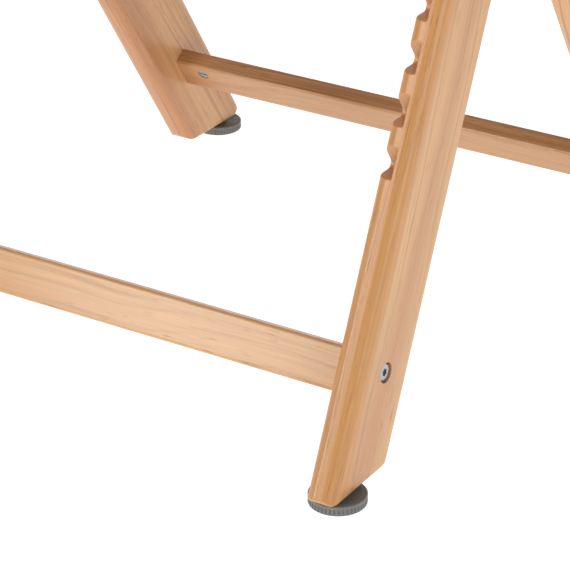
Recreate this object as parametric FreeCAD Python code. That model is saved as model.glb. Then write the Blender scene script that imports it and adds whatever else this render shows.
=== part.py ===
import FreeCAD, Part
import math
import os

from FreeCAD import Vector

# A wooden baby high chair on four levelling feet, in millimetres.
# +Z is up, +Y is the rear and +X is the right-hand side for someone facing the front of the chair.
# Two notched main legs lean back from the front feet to the backrest. Two rear legs, bolted to
# their outer sides, lean forward to meet them. The seat and the footrest hook into the notches.
# Lengths along y are first measured from the middle of the front feet; the last step moves the
# chair so that its origin is the middle of its own box, on the floor.

# How far a cutting tool runs past a surface, and how closely two places count as the same
CUT_PAST = 1.0
SAME_PLACE = 0.01

# Legs
LEG_THICKNESS = 22.0
LEG_EDGE_ROUND = 8.5
LEG_RIM_ROUND = 1.5
FOOT_RIM_BELOW_Z = 40.0
FOOT_CUT_OUTSIDE = 0.3
END_ROUND_SHORTFALL = 3.0
LEG_BOTTOM_Z = 9.8
MAIN_LEG_MID_X = 197.9
MAIN_LEG_LEAN_DEG = 24.21
MAIN_LEG_WIDTH = 70.4
MAIN_LEG_LENGTH = 955.0
MAIN_LEG_FRONT_AT_FLOOR_Y = -31.8
MAIN_LEG_TOE_ROUND = 4.0
MAIN_LEG_HEEL_ROUND = 18.0
MAIN_LEG_TOP_ROUND = 26.0
REAR_LEG_LEAN_DEG = 33.37
REAR_LEG_WIDTH = 71.2
REAR_LEG_BACK_AT_FLOOR_Y = 521.3
REAR_LEG_TOE_ROUND = 20.0
REAR_LEG_HEEL_ROUND = 9.5

# Notches in the inner half of the main legs' front edges
NOTCH_COUNT = 14
NOTCH_FIRST_LEDGE_Z = 209.4
NOTCH_PITCH_Z = 31.7
NOTCH_ROD_SPACE = 6.3
NOTCH_ROD_SET_BACK = 6.7
NOTCH_CORNER_ROUND = 3.5
NOTCH_UPPER_SLOPE_DEG = 56.5
NOTCH_EDGE_ROUND = 1.0
NOTCH_TOOL_REACH = 45.0
NOTCH_EDGE_REACH = 21.0

# Cross rails, with their bolts, barrel nuts and dowels
RAIL_THICKNESS = 15.0
RAIL_WIDTH = 31.5
RAIL_ROUND = 2.5
FRONT_RAIL_SET_BACK = 27.2
FRONT_RAIL_UP_LEG = 98.5
REAR_RAIL_SET_BACK = 27.4
REAR_RAIL_UP_LEG = 120.3
RAIL_BOLT_RADIUS = 3.0
RAIL_BOLT_HEAD_RADIUS = 6.0
RAIL_BOLT_HEAD_HEIGHT = 6.0
RAIL_BOLT_SOCKET_RADIUS = 2.9
RAIL_BOLT_SOCKET_DEPTH = 3.2
RAIL_BOLT_HEAD_SINK = 1.2
BOLT_HEAD_ROUND = 0.8
COUNTERBORE_RADIUS = 7.3
RAIL_BOLT_UP_RAIL = 5.2
RAIL_DOWEL_DOWN_RAIL = 8.0
BARREL_NUT_RADIUS = 5.0
BARREL_NUT_FROM_END = 23.3
BARREL_NUT_SINK = 0.6
BLIND_NUT_LENGTH = 11.0
BARREL_SLOT_WIDTH = 1.2
BARREL_SLOT_DEPTH = 1.0
BOLT_PAST_NUT = 7.0
DOWEL_RADIUS = 4.0
DOWEL_IN_LEG = 10.0
DOWEL_IN_RAIL = 20.0

# Bolted joint between each rear leg and main leg
LEG_BOLT_OFFSET = 16.0
LEG_BOLT_RADIUS = 3.0
LEG_BOLT_END_GAP = 6.0
SLEEVE_RADIUS = 4.0
SLEEVE_HEAD_RADIUS = 7.0
SLEEVE_HEAD_HEIGHT = 2.5
SLEEVE_LENGTH = 22.0
SLEEVE_SOCKET_RADIUS = 2.6
SLEEVE_SOCKET_DEPTH = 2.0
SLEEVE_SOCKET_FLOOR = 2.0

# Backrest slats
SLAT_THICKNESS = 14.0
SLAT_BOW = 12.0
SLAT_ROUND = 3.5
SLAT_STRAIGHT_END = 42.0
SLAT_CURVE_STEPS = 12
LOWER_SLAT_UP_LEG = 765.0
UPPER_SLAT_UP_LEG = 890.0
SLAT_HEIGHT = 68.0
SLAT_FASTENER_SPREAD = 15.0

# Levelling feet
FRONT_FOOT_Y = 0.0
REAR_FOOT_Y = 490.7
FOOT_RADIUS = 20.0
FOOT_HEIGHT = 7.3
FOOT_GROOVES = 44
FOOT_GROOVE_RADIUS = 0.85
FOOT_BAND_HEIGHT = 2.3
FOOT_DISH_DEPTH = 1.0
FOOT_DISH_RADIUS = 16.5
FOOT_RIM_ROUND = 0.6
FOOT_NECK_RADIUS = 7.0
FOOT_NECK_FLARE = 2.0
FOOT_NECK_GAP = 0.25
STUD_RADIUS = 4.0
STUD_IN_LEG = 20.0
STUD_HEAD_RADIUS = 6.0
STUD_HEAD_HEIGHT = 2.8
STUD_BOTTOM_Z = 2.2
STUD_TIP_CHAMFER = 0.8
STUD_HOLE_GAP = 0.4
RUNNING_CLEARANCE = 0.05
INSERT_RADIUS = 5.5
INSERT_LENGTH = 15.0
INSERT_FLANGE_RADIUS = 8.0
INSERT_FLANGE_HEIGHT = 1.4

# Seat and footrest
SEAT_NOTCH = 11
FOOTREST_NOTCH = 5
ROD_RADIUS = 6.0
ROD_END_ROUND = 1.2
REAR_ROD_END_GAP = 1.5
NOTCH_END_GAP = 0.9
ROD_BEARING_GAP = 0.3
REAR_ROD_RISE = 20.0
BOARD_THICKNESS = 16.0
BOARD_UNDER_RISE = 14.0
BOARD_SIDE_GAP = 2.4
BOARD_BACK_REACH = 64.0
BOARD_CORNER_ROUND = 34.0
BOARD_BACK_CORNER_ROUND = 6.0
BOARD_EDGE_ROUND = 5.0
SEAT_REACH = 215.0
FOOTREST_REACH = 160.0
BATTEN_THICKNESS = 18.0
BATTEN_SIDE_GAP = 3.0
BATTEN_EDGE_ROUND = 2.0
BATTEN_DROP = 13.0
BATTEN_NOSE_HEIGHT = 16.0
BATTEN_BEHIND_ROD = 14.0
BATTEN_FRONT_MARGIN = 22.0
BATTEN_CORNER_ROUND = 6.0
BATTEN_END_ROUND = 13.0
BATTEN_STEP_GAP = 0.5
BATTEN_STEP_ROUND = 2.0
SCREW_RADIUS = 2.0
SCREW_HEAD_RADIUS = 4.0
SCREW_HEAD_HEIGHT = 2.4
SCREW_HEAD_SINK = 2.2
SCREW_MOUTH_REACH = 6.0
SCREW_IN_BOARD = 11.0
FRONT_SCREW_SHARE = 0.72
REAR_SCREW_BEHIND_ROD = 34.0

# Guard
GUARD_PIVOT_UP_LEG = 846.0
GUARD_HEIGHT = 42.0
GUARD_THICKNESS = 15.0
GUARD_REACH = 268.0
GUARD_BEND_RADIUS = 105.0
GUARD_ROUND = 5.0
GUARD_SIDE_GAP = 1.2
GUARD_BOLT_RADIUS = 4.0
GUARD_CAP_RADIUS = 10.0
GUARD_CAP_HEIGHT = 4.0
GUARD_CAP_GAP = 0.4
GUARD_CAP_DOME = 2.4
GUARD_SOCKET_DEPTH = 2.5
GUARD_END_SHORTFALL = 0.1
GUARD_WASHER_RADIUS = 9.0
GUARD_WASHER_PLAY = 0.2
STOP_PEG_RADIUS = 4.0
STOP_PEG_FORWARD = 22.0
STOP_PEG_GAP = 0.3
STOP_PEG_IN_LEG = 12.0
STOP_PEG_END_ROUND = 1.0

# Harness
WEBBING_WIDTH = 25.0
WEBBING_THICKNESS = 1.8
STRAP_SLOT_GAP = 1.0
STRAP_BELOW_BOARD = 2.0
STRAP_SLOT_REACH = 4.0
CROTCH_SLOT_FORWARD = 118.0
WAIST_SLOT_SIDE = 138.0
WAIST_SLOT_FORWARD = 14.0
STRAP_BEND = 4.0
BUCKLE_FORWARD = 62.0
BUCKLE_WIDTH = 46.0
BUCKLE_DEPTH = 44.0
BUCKLE_HEIGHT = 13.0
BUCKLE_LIFT = 0.4
BUCKLE_CORNER_ROUND = 9.0
BUCKLE_EDGE_ROUND = 2.5
BUTTON_RADIUS = 8.5
BUTTON_PROUD = 1.2
BUTTON_WELL_DEPTH = 5.0
BUTTON_HEIGHT = 4.2
BUTTON_CLEARANCE = 0.3
BUTTON_EDGE_ROUND = 0.8
TONGUE_WIDTH = 34.0
TONGUE_LENGTH = 22.0
TONGUE_THICKNESS = 5.0
TONGUE_BAR = 5.0
TONGUE_WINDOW = 6.0
TONGUE_LIFT = 1.2
TONGUE_CORNER_ROUND = 4.0
TONGUE_TAPER = 4.0
BLADE_INSET = 6.0
BLADE_BUTTON_GAP = 3.0
BLADE_THICKNESS = 3.5


# ---------------------------------------------------------------- places in the side view

def on_lean(start_y, lean_deg, toward, along, across):
    """The point on a leaning leg, `along` its edge from the floor and `across` from that edge."""
    lean = math.radians(lean_deg)
    y = start_y + toward * (along * math.sin(lean) + across * math.cos(lean))
    z = along * math.cos(lean) - across * math.sin(lean)
    return y, z


def on_main_leg(along, across):
    """The side-view place on a main leg, measured from its front edge."""
    return on_lean(MAIN_LEG_FRONT_AT_FLOOR_Y, MAIN_LEG_LEAN_DEG, 1, along, across)


def on_rear_leg(along, across):
    """The side-view place on a rear leg, measured from its rear edge."""
    return on_lean(REAR_LEG_BACK_AT_FLOOR_Y, REAR_LEG_LEAN_DEG, -1, along, across)


def at_height(lean_deg, z, across):
    """How far along a leaning edge the height z is reached, `across` from that edge."""
    lean = math.radians(lean_deg)
    return (z + across * math.sin(lean)) / math.cos(lean)


INNER_FACE_X = MAIN_LEG_MID_X - LEG_THICKNESS / 2
OUTER_FACE_X = MAIN_LEG_MID_X + LEG_THICKNESS / 2
REAR_LEG_OUTER_X = OUTER_FACE_X + LEG_THICKNESS
MAIN_LEG_LEAN = math.radians(MAIN_LEG_LEAN_DEG)
REAR_LEG_LEAN = math.radians(REAR_LEG_LEAN_DEG)
MAIN_LEG_UP = Vector(0, math.sin(MAIN_LEG_LEAN), math.cos(MAIN_LEG_LEAN))
MAIN_LEG_BACK = Vector(0, MAIN_LEG_UP.z, -MAIN_LEG_UP.y)
REAR_LEG_UP = Vector(0, -math.sin(REAR_LEG_LEAN), math.cos(REAR_LEG_LEAN))
REAR_LEG_FRONT = Vector(0, -REAR_LEG_UP.z, REAR_LEG_UP.y)


def legs_crossing():
    """The side-view point where the middle lines of a main leg and a rear leg cross."""
    main_y, main_z = on_main_leg(0, MAIN_LEG_WIDTH / 2)
    rear_y, rear_z = on_rear_leg(0, REAR_LEG_WIDTH / 2)
    gap_y, gap_z = rear_y - main_y, rear_z - main_z
    turn = MAIN_LEG_UP.z * REAR_LEG_UP.y - MAIN_LEG_UP.y * REAR_LEG_UP.z
    along = (gap_z * REAR_LEG_UP.y - gap_y * REAR_LEG_UP.z) / turn
    return main_y + along * MAIN_LEG_UP.y, main_z + along * MAIN_LEG_UP.z


# ---------------------------------------------------------------- shape helpers

def rounded_wire(corners, plane):
    """A closed wire through (a, b, radius) corners, with an arc at each corner that has a radius.

    `plane` turns the two numbers into a point."""
    stops = []
    for index, (a, b, radius) in enumerate(corners):
        before = corners[index - 1]
        after = corners[(index + 1) % len(corners)]
        corner = Vector(a, b, 0)
        to_before = (Vector(before[0], before[1], 0) - corner).normalize()
        to_after = (Vector(after[0], after[1], 0) - corner).normalize()
        if radius == 0:
            stops.append((corner, None, corner))
            continue
        half_angle = to_before.getAngle(to_after) / 2
        run = radius / math.tan(half_angle)
        inward = (to_before + to_after).normalize()
        middle = corner + inward * (radius / math.sin(half_angle) - radius)
        stops.append((corner + to_before * run, middle, corner + to_after * run))
    edges = []
    for index, (start, middle, end) in enumerate(stops):
        if middle is not None:
            arc_points = [plane(point.x, point.y) for point in (start, middle, end)]
            edges.append(Part.Arc(*arc_points).toShape())
        next_start = plane(stops[(index + 1) % len(stops)][0].x, stops[(index + 1) % len(stops)][0].y)
        this_end = plane(end.x, end.y)
        if this_end.distanceToPoint(next_start) > SAME_PLACE:
            edges.append(Part.makeLine(this_end, next_start))
    return Part.Wire(edges)


def side_plate(corners, x_low, x_high):
    """A plate between two x values, with a side-view outline of (y, z, radius) corners."""
    wire = rounded_wire(corners, lambda y, z: Vector(x_low, y, z))
    return Part.Face(wire).extrude(Vector(x_high - x_low, 0, 0))


def top_plate(corners, z_low, z_high):
    """A plate between two z values, with a top-view outline of (x, y, radius) corners."""
    wire = rounded_wire(corners, lambda x, y: Vector(x, y, z_low))
    return Part.Face(wire).extrude(Vector(0, 0, z_high - z_low))


def round_edges(shape, radius, wanted):
    """Rounds every edge for which wanted(edge) is true."""
    edges = [edge for edge in shape.Edges if wanted(edge)]
    return shape.makeFillet(radius, edges)


def lies_at_x(edge, x_values):
    """Whether a whole edge lies at one of these x values."""
    box = edge.BoundBox
    return any(abs(box.XMin - x) < SAME_PLACE and abs(box.XMax - x) < SAME_PLACE for x in x_values)


def lies_at_z(edge, z_values):
    """Whether a whole edge lies at one of these z values."""
    box = edge.BoundBox
    return any(abs(box.ZMin - z) < SAME_PLACE and abs(box.ZMax - z) < SAME_PLACE for z in z_values)


def cylinder(radius, start, end):
    """A solid cylinder between two points."""
    return Part.makeCylinder(radius, start.distanceToPoint(end), start, end - start)


def turned(profile):
    """A solid of revolution about the z axis, from (radius, z) points."""
    points = [Vector(radius, 0, z) for radius, z in profile]
    face = Part.Face(Part.makePolygon(points + points[:1]))
    return face.revolve(Vector(0, 0, 0), Vector(0, 0, 1), 360)


def mirrored(shape):
    """The same shape on the other side of the chair."""
    return shape.mirror(Vector(0, 0, 0), Vector(1, 0, 0))


def both_sides(shape):
    """A shape of the right-hand side and its mirror image, as separate solids."""
    return [shape, mirrored(shape)]


def joined(shapes):
    """Several separate solids as one group."""
    return Part.makeCompound(shapes)


def drilled(shape, tools):
    """A shape with every tool cut away."""
    result = shape.cut(tools)
    return result.Solids[0] if len(result.Solids) == 1 else result


def hex_socket(radius, start, depth, direction):
    """The tool that cuts a hexagonal key socket."""
    first = Vector(0, 0, 1)
    second = direction.cross(first)
    points = []
    for index in range(6):
        turn = math.pi * index / 3
        points.append(start + first * (radius * math.cos(turn)) + second * (radius * math.sin(turn)))
    return Part.Face(Part.makePolygon(points + points[:1])).extrude(direction * depth)


# ---------------------------------------------------------------- fasteners

def socket_bolt(head_x, seat_x, end_x, y, z):
    """A socket-head bolt along x: head from head_x in to seat_x, then its shank on to end_x."""
    inward = Vector(-1, 0, 0)
    head = cylinder(RAIL_BOLT_HEAD_RADIUS, Vector(head_x, y, z), Vector(seat_x, y, z))
    head = round_edges(head, BOLT_HEAD_ROUND, lambda edge: lies_at_x(edge, [head_x]))
    shank = cylinder(RAIL_BOLT_RADIUS, Vector(seat_x, y, z), Vector(end_x, y, z))
    socket = hex_socket(RAIL_BOLT_SOCKET_RADIUS, Vector(head_x, y, z), RAIL_BOLT_SOCKET_DEPTH, inward)
    return drilled(head.fuse(shank), [socket])


def counterbored_hole(face_x, seat_x, end_x, y, z, hole_radius, wide_radius):
    """The tools for a hole along x with a wider mouth from face_x in to seat_x."""
    mouth = cylinder(wide_radius, Vector(face_x + CUT_PAST, y, z), Vector(seat_x, y, z))
    hole = cylinder(hole_radius, Vector(face_x, y, z), Vector(end_x, y, z))
    return [mouth, hole]


def barrel_nut(centre, axis, length, bolt_radius):
    """A cross dowel with a bolt hole along x and a screwdriver slot in its visible end."""
    half = axis * (length / 2)
    body = cylinder(BARREL_NUT_RADIUS, centre - half, centre + half)
    reach = BARREL_NUT_RADIUS + CUT_PAST
    hole = cylinder(bolt_radius, centre - Vector(reach, 0, 0), centre + Vector(reach, 0, 0))
    slot = Part.makeBox(2 * reach, 2 * BARREL_SLOT_DEPTH, BARREL_SLOT_WIDTH)
    slot.translate(Vector(-reach, -BARREL_SLOT_DEPTH, -BARREL_SLOT_WIDTH / 2))
    slot = slot.transformGeometry(FreeCAD.Placement(centre + half, turn_from_y(axis)).toMatrix())
    return drilled(body, [hole, slot])


def turn_from_y(axis):
    """The rotation that carries +y to an axis in the side view."""
    return FreeCAD.Rotation(Vector(0, 1, 0), axis)


def end_fasteners(end_x, leg_face_x, bolt_at, dowel_at, nut_axis, nut_length, thickness):
    """The right-hand bolt, barrel nut and dowel that hold a rail or slat, and the leg's and rail's holes.

    bolt_at and dowel_at are side-view points; end_x is the rail's end and leg_face_x the leg's far face.
    The nut goes in along nut_axis, from the far side of a rail or slat of this thickness."""
    seat_x = leg_face_x - RAIL_BOLT_HEAD_SINK - RAIL_BOLT_HEAD_HEIGHT
    tip_x = end_x - BARREL_NUT_FROM_END - BOLT_PAST_NUT
    bolt = socket_bolt(leg_face_x - RAIL_BOLT_HEAD_SINK, seat_x, tip_x, bolt_at[0], bolt_at[1])
    nut_centre = Vector(end_x - BARREL_NUT_FROM_END, bolt_at[0], bolt_at[1])
    nut = barrel_nut(nut_centre, nut_axis, nut_length, RAIL_BOLT_RADIUS)
    dowel_start = Vector(end_x - DOWEL_IN_RAIL, dowel_at[0], dowel_at[1])
    dowel = cylinder(DOWEL_RADIUS, dowel_start, dowel_start + Vector(DOWEL_IN_RAIL + DOWEL_IN_LEG, 0, 0))
    holes = counterbored_hole(leg_face_x, seat_x, tip_x, bolt_at[0], bolt_at[1],
                              RAIL_BOLT_RADIUS, COUNTERBORE_RADIUS)
    nut_reach = nut_axis * (thickness / 2 + CUT_PAST)
    nut_back = nut_axis * (nut_length / 2)
    nut_hole = cylinder(BARREL_NUT_RADIUS, nut_centre - nut_back, nut_centre + nut_reach)
    return {"bolt": bolt, "nut": nut, "dowel": dowel, "leg_tools": holes + [dowel],
            "rail_tools": [holes[1], nut_hole, dowel]}


# ---------------------------------------------------------------- cross rails

def cross_rail(place, set_back, up_leg, half_length):
    """A rail across the chair, as wide as RAIL_WIDTH along the leg, centred up_leg along it."""
    low, high = up_leg - RAIL_WIDTH / 2, up_leg + RAIL_WIDTH / 2
    near, far = set_back, set_back + RAIL_THICKNESS
    outline = [place(low, near), place(high, near), place(high, far), place(low, far)]
    corners = [(y, z, RAIL_ROUND) for y, z in outline]
    return side_plate(corners, -half_length, half_length)


def rail_fasteners(place, nut_axis, nut_length, set_back, up_leg, end_x):
    """The right-hand fasteners of a cross rail, with its bolt above its dowel."""
    middle = set_back + RAIL_THICKNESS / 2
    bolt_at = place(up_leg + RAIL_BOLT_UP_RAIL, middle)
    dowel_at = place(up_leg - RAIL_DOWEL_DOWN_RAIL, middle)
    leg_face_x = end_x + LEG_THICKNESS
    return end_fasteners(end_x, leg_face_x, bolt_at, dowel_at, nut_axis, nut_length, RAIL_THICKNESS)


def front_rail_fasteners():
    """The fasteners between the front rail and the right main leg; its short nuts hide behind it."""
    return rail_fasteners(on_main_leg, MAIN_LEG_BACK, BLIND_NUT_LENGTH,
                          FRONT_RAIL_SET_BACK, FRONT_RAIL_UP_LEG, INNER_FACE_X)


def rear_rail_fasteners():
    """The fasteners between the rear rail and the right rear leg."""
    nut_length = RAIL_THICKNESS - 2 * BARREL_NUT_SINK
    return rail_fasteners(on_rear_leg, REAR_LEG_FRONT, nut_length,
                          REAR_RAIL_SET_BACK, REAR_RAIL_UP_LEG, OUTER_FACE_X)


def finished_rail(place, set_back, up_leg, half_length, fasteners):
    """A cross rail with the holes for the fasteners at both of its ends."""
    rail = cross_rail(place, set_back, up_leg, half_length)
    tools = fasteners["rail_tools"]
    return drilled(rail, tools + [mirrored(tool) for tool in tools])


# ---------------------------------------------------------------- backrest

def slat_line(half_length, offset):
    """The bowed top-view line of a slat, as (x, distance behind the leg's front edge)."""
    straight_to = half_length - SLAT_STRAIGHT_END
    level = (MAIN_LEG_WIDTH - SLAT_THICKNESS) / 2 + offset
    line = []
    for index in range(-SLAT_CURVE_STEPS, SLAT_CURVE_STEPS + 1):
        share = index / SLAT_CURVE_STEPS
        x = straight_to * share
        bow = SLAT_BOW * (1 + math.cos(math.pi * share)) / 2
        line.append((x, level + bow))
    return line


def back_slat(up_leg, half_length):
    """A slat across the backrest, bowed backwards in the middle to fit a child's back."""
    def spot(x, across):
        y, z = on_main_leg(up_leg - SLAT_HEIGHT / 2, across)
        return Vector(x, y, z)

    def bowed_edge(offset):
        curve = Part.BSplineCurve()
        points = [spot(x, across) for x, across in slat_line(half_length, offset)]
        curve.interpolate(Points=points, InitialTangent=Vector(1, 0, 0), FinalTangent=Vector(1, 0, 0))
        return curve.toShape(), points[0], points[-1]

    near = slat_line(half_length, 0)[0][1]
    far = near + SLAT_THICKNESS
    front_curve, front_start, front_end = bowed_edge(0)
    back_curve, back_start, back_end = bowed_edge(SLAT_THICKNESS)
    edges = [
        Part.makeLine(spot(-half_length, near), front_start), front_curve,
        Part.makeLine(front_end, spot(half_length, near)),
        Part.makeLine(spot(half_length, near), spot(half_length, far)),
        Part.makeLine(spot(half_length, far), back_end), back_curve,
        Part.makeLine(back_start, spot(-half_length, far)),
        Part.makeLine(spot(-half_length, far), spot(-half_length, near)),
    ]
    slat = Part.Face(Part.Wire(Part.__sortEdges__(edges))).extrude(MAIN_LEG_UP * SLAT_HEIGHT)
    long_edges = [edge for edge in slat.Edges if edge.BoundBox.XLength > SLAT_THICKNESS]
    return slat.makeFillet(SLAT_ROUND, long_edges)


def slat_fasteners(up_leg):
    """The right-hand fasteners of a backrest slat, with its bolt above its dowel."""
    middle = MAIN_LEG_WIDTH / 2
    bolt_at = on_main_leg(up_leg + SLAT_FASTENER_SPREAD, middle)
    dowel_at = on_main_leg(up_leg - SLAT_FASTENER_SPREAD, middle)
    nut_length = SLAT_THICKNESS - 2 * BARREL_NUT_SINK
    return end_fasteners(INNER_FACE_X, OUTER_FACE_X, bolt_at, dowel_at, MAIN_LEG_BACK,
                         nut_length, SLAT_THICKNESS)


def finished_slat(up_leg):
    """A backrest slat with the holes for the fasteners at both of its ends."""
    tools = slat_fasteners(up_leg)["rail_tools"]
    return drilled(back_slat(up_leg, INNER_FACE_X), tools + [mirrored(tool) for tool in tools])


# ---------------------------------------------------------------- joint of rear leg to main leg

def leg_joint_points():
    """The two side-view bolt points, one each side of the crossing along the main leg."""
    y, z = legs_crossing()
    return [(y + side * LEG_BOLT_OFFSET * MAIN_LEG_UP.y, z + side * LEG_BOLT_OFFSET * MAIN_LEG_UP.z)
            for side in (-1, 1)]


def sleeve_nut(face_x, y, z, bolt_radius):
    """A cap nut with a long sleeve: its flat head lies flush in the face at face_x."""
    head = cylinder(SLEEVE_HEAD_RADIUS, Vector(face_x, y, z), Vector(face_x + SLEEVE_HEAD_HEIGHT, y, z))
    sleeve = cylinder(SLEEVE_RADIUS, Vector(face_x, y, z), Vector(face_x + SLEEVE_LENGTH, y, z))
    bore_start = face_x + SLEEVE_SOCKET_DEPTH + SLEEVE_SOCKET_FLOOR
    bore_end = face_x + SLEEVE_LENGTH + CUT_PAST
    bore = cylinder(bolt_radius, Vector(bore_start, y, z), Vector(bore_end, y, z))
    socket = hex_socket(SLEEVE_SOCKET_RADIUS, Vector(face_x, y, z), SLEEVE_SOCKET_DEPTH, Vector(1, 0, 0))
    return drilled(head.fuse(sleeve), [bore, socket])


def sleeve_nut_tools(face_x, y, z):
    """The tools that make room for a sleeve nut."""
    start = Vector(face_x - CUT_PAST, y, z)
    head = cylinder(SLEEVE_HEAD_RADIUS, start, Vector(face_x + SLEEVE_HEAD_HEIGHT, y, z))
    sleeve = cylinder(SLEEVE_RADIUS, start, Vector(face_x + SLEEVE_LENGTH, y, z))
    return [head, sleeve]


def leg_joint_bolt(y, z):
    """The right-hand bolt that enters from the rear leg's outer face."""
    head_x = REAR_LEG_OUTER_X - RAIL_BOLT_HEAD_SINK
    return socket_bolt(head_x, head_x - RAIL_BOLT_HEAD_HEIGHT, INNER_FACE_X + LEG_BOLT_END_GAP, y, z)


def leg_joint_tools(y, z):
    """The bolt's and the sleeve nut's holes through both right-hand legs."""
    seat_x = REAR_LEG_OUTER_X - RAIL_BOLT_HEAD_SINK - RAIL_BOLT_HEAD_HEIGHT
    bolt_hole = counterbored_hole(REAR_LEG_OUTER_X, seat_x, INNER_FACE_X + LEG_BOLT_END_GAP, y, z,
                                  LEG_BOLT_RADIUS, COUNTERBORE_RADIUS)
    return bolt_hole + sleeve_nut_tools(INNER_FACE_X, y, z)


# ---------------------------------------------------------------- levelling feet

def foot_disc():
    """The moulded disc that turns on the floor: grooved rim, dished top, neck and stud bore."""
    bore = STUD_RADIUS + RUNNING_CLEARANCE
    cavity = STUD_HEAD_RADIUS + RUNNING_CLEARANCE
    cavity_low = STUD_BOTTOM_Z - RUNNING_CLEARANCE
    cavity_high = STUD_BOTTOM_Z + STUD_HEAD_HEIGHT + RUNNING_CLEARANCE
    neck_top = LEG_BOTTOM_Z - FOOT_NECK_GAP
    dish_z = FOOT_HEIGHT - FOOT_DISH_DEPTH
    disc = turned([
        (0, 0), (FOOT_RADIUS - FOOT_RIM_ROUND, 0), (FOOT_RADIUS, FOOT_RIM_ROUND),
        (FOOT_RADIUS, FOOT_HEIGHT - FOOT_RIM_ROUND), (FOOT_RADIUS - FOOT_RIM_ROUND, FOOT_HEIGHT),
        (FOOT_DISH_RADIUS, FOOT_HEIGHT), (FOOT_NECK_RADIUS + FOOT_NECK_FLARE, dish_z),
        (FOOT_NECK_RADIUS, dish_z), (FOOT_NECK_RADIUS, neck_top), (bore, neck_top), (bore, cavity_high),
        (cavity, cavity_high), (cavity, cavity_low), (0, cavity_low),
    ])
    grooves = []
    for index in range(FOOT_GROOVES):
        turn = 2 * math.pi * index / FOOT_GROOVES
        spot = Vector(FOOT_RADIUS * math.cos(turn), FOOT_RADIUS * math.sin(turn), -CUT_PAST)
        grooves.append(Part.makeCylinder(FOOT_GROOVE_RADIUS, FOOT_HEIGHT - FOOT_BAND_HEIGHT + CUT_PAST, spot))
    return drilled(disc, grooves)


def foot_stud():
    """The threaded stud whose round head is moulded into the disc."""
    head_top = STUD_BOTTOM_Z + STUD_HEAD_HEIGHT
    top = LEG_BOTTOM_Z + STUD_IN_LEG
    return turned([
        (0, STUD_BOTTOM_Z), (STUD_HEAD_RADIUS, STUD_BOTTOM_Z), (STUD_HEAD_RADIUS, head_top),
        (STUD_RADIUS, head_top), (STUD_RADIUS, top - STUD_TIP_CHAMFER),
        (STUD_RADIUS - STUD_TIP_CHAMFER, top), (0, top),
    ])


def foot_insert():
    """The flanged threaded insert in the bottom of a leg."""
    bore = STUD_RADIUS + RUNNING_CLEARANCE
    flange_top = LEG_BOTTOM_Z + INSERT_FLANGE_HEIGHT
    top = LEG_BOTTOM_Z + INSERT_LENGTH
    return turned([
        (bore, LEG_BOTTOM_Z), (INSERT_FLANGE_RADIUS, LEG_BOTTOM_Z), (INSERT_FLANGE_RADIUS, flange_top),
        (INSERT_RADIUS, flange_top), (INSERT_RADIUS, top), (bore, top),
    ])


def foot_leg_tools():
    """The holes for the insert and for the stud's free end."""
    depths = [(INSERT_FLANGE_RADIUS, INSERT_FLANGE_HEIGHT), (INSERT_RADIUS, INSERT_LENGTH),
              (STUD_RADIUS + STUD_HOLE_GAP, STUD_IN_LEG + CUT_PAST)]
    mouth = Vector(0, 0, LEG_BOTTOM_Z - CUT_PAST)
    return [cylinder(radius, mouth, Vector(0, 0, LEG_BOTTOM_Z + depth)) for radius, depth in depths]


def at_foot(shape, side, y):
    """A foot's piece, moved from the z axis to its place under a leg."""
    moved = shape.copy()
    mid_x = MAIN_LEG_MID_X if y == FRONT_FOOT_Y else MAIN_LEG_MID_X + LEG_THICKNESS
    moved.translate(Vector(side * mid_x, y, 0))
    return moved


# ---------------------------------------------------------------- legs

def notch_tool(index):
    """The tool that cuts one notch: a level ledge, a round corner and a slanting upper side."""
    rod_y, rod_z = notch_centre(index)
    slope = math.radians(NOTCH_UPPER_SLOPE_DEG)
    centre_y = rod_y + (NOTCH_ROD_SPACE - NOTCH_CORNER_ROUND) / math.tan(slope / 2)
    centre_z = rod_z - NOTCH_ROD_SPACE + NOTCH_CORNER_ROUND
    start_x = INNER_FACE_X - CUT_PAST

    def on_round(angle):
        y = centre_y + NOTCH_CORNER_ROUND * math.cos(angle)
        return Vector(start_x, y, centre_z + NOTCH_CORNER_ROUND * math.sin(angle))

    lowest = on_round(-math.pi / 2)
    touch = on_round(math.pi / 2 - slope)
    ledge_front = lowest - Vector(0, NOTCH_TOOL_REACH, 0)
    slant_front = touch + Vector(0, -math.cos(slope), math.sin(slope)) * NOTCH_TOOL_REACH
    edges = [
        Part.makeLine(ledge_front, lowest), Part.Arc(lowest, on_round(-slope / 2), touch).toShape(),
        Part.makeLine(touch, slant_front), Part.makeLine(slant_front, ledge_front),
    ]
    return Part.Face(Part.Wire(edges)).extrude(Vector(MAIN_LEG_MID_X - start_x, 0, 0))


def notch_centre(index):
    """The side-view centre of a rod that lies on a notch's ledge, against its slanting side."""
    centre_z = NOTCH_FIRST_LEDGE_Z + index * NOTCH_PITCH_Z + NOTCH_ROD_SPACE
    along = at_height(MAIN_LEG_LEAN_DEG, centre_z, NOTCH_ROD_SET_BACK)
    return on_main_leg(along, NOTCH_ROD_SET_BACK)[0], centre_z


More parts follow.
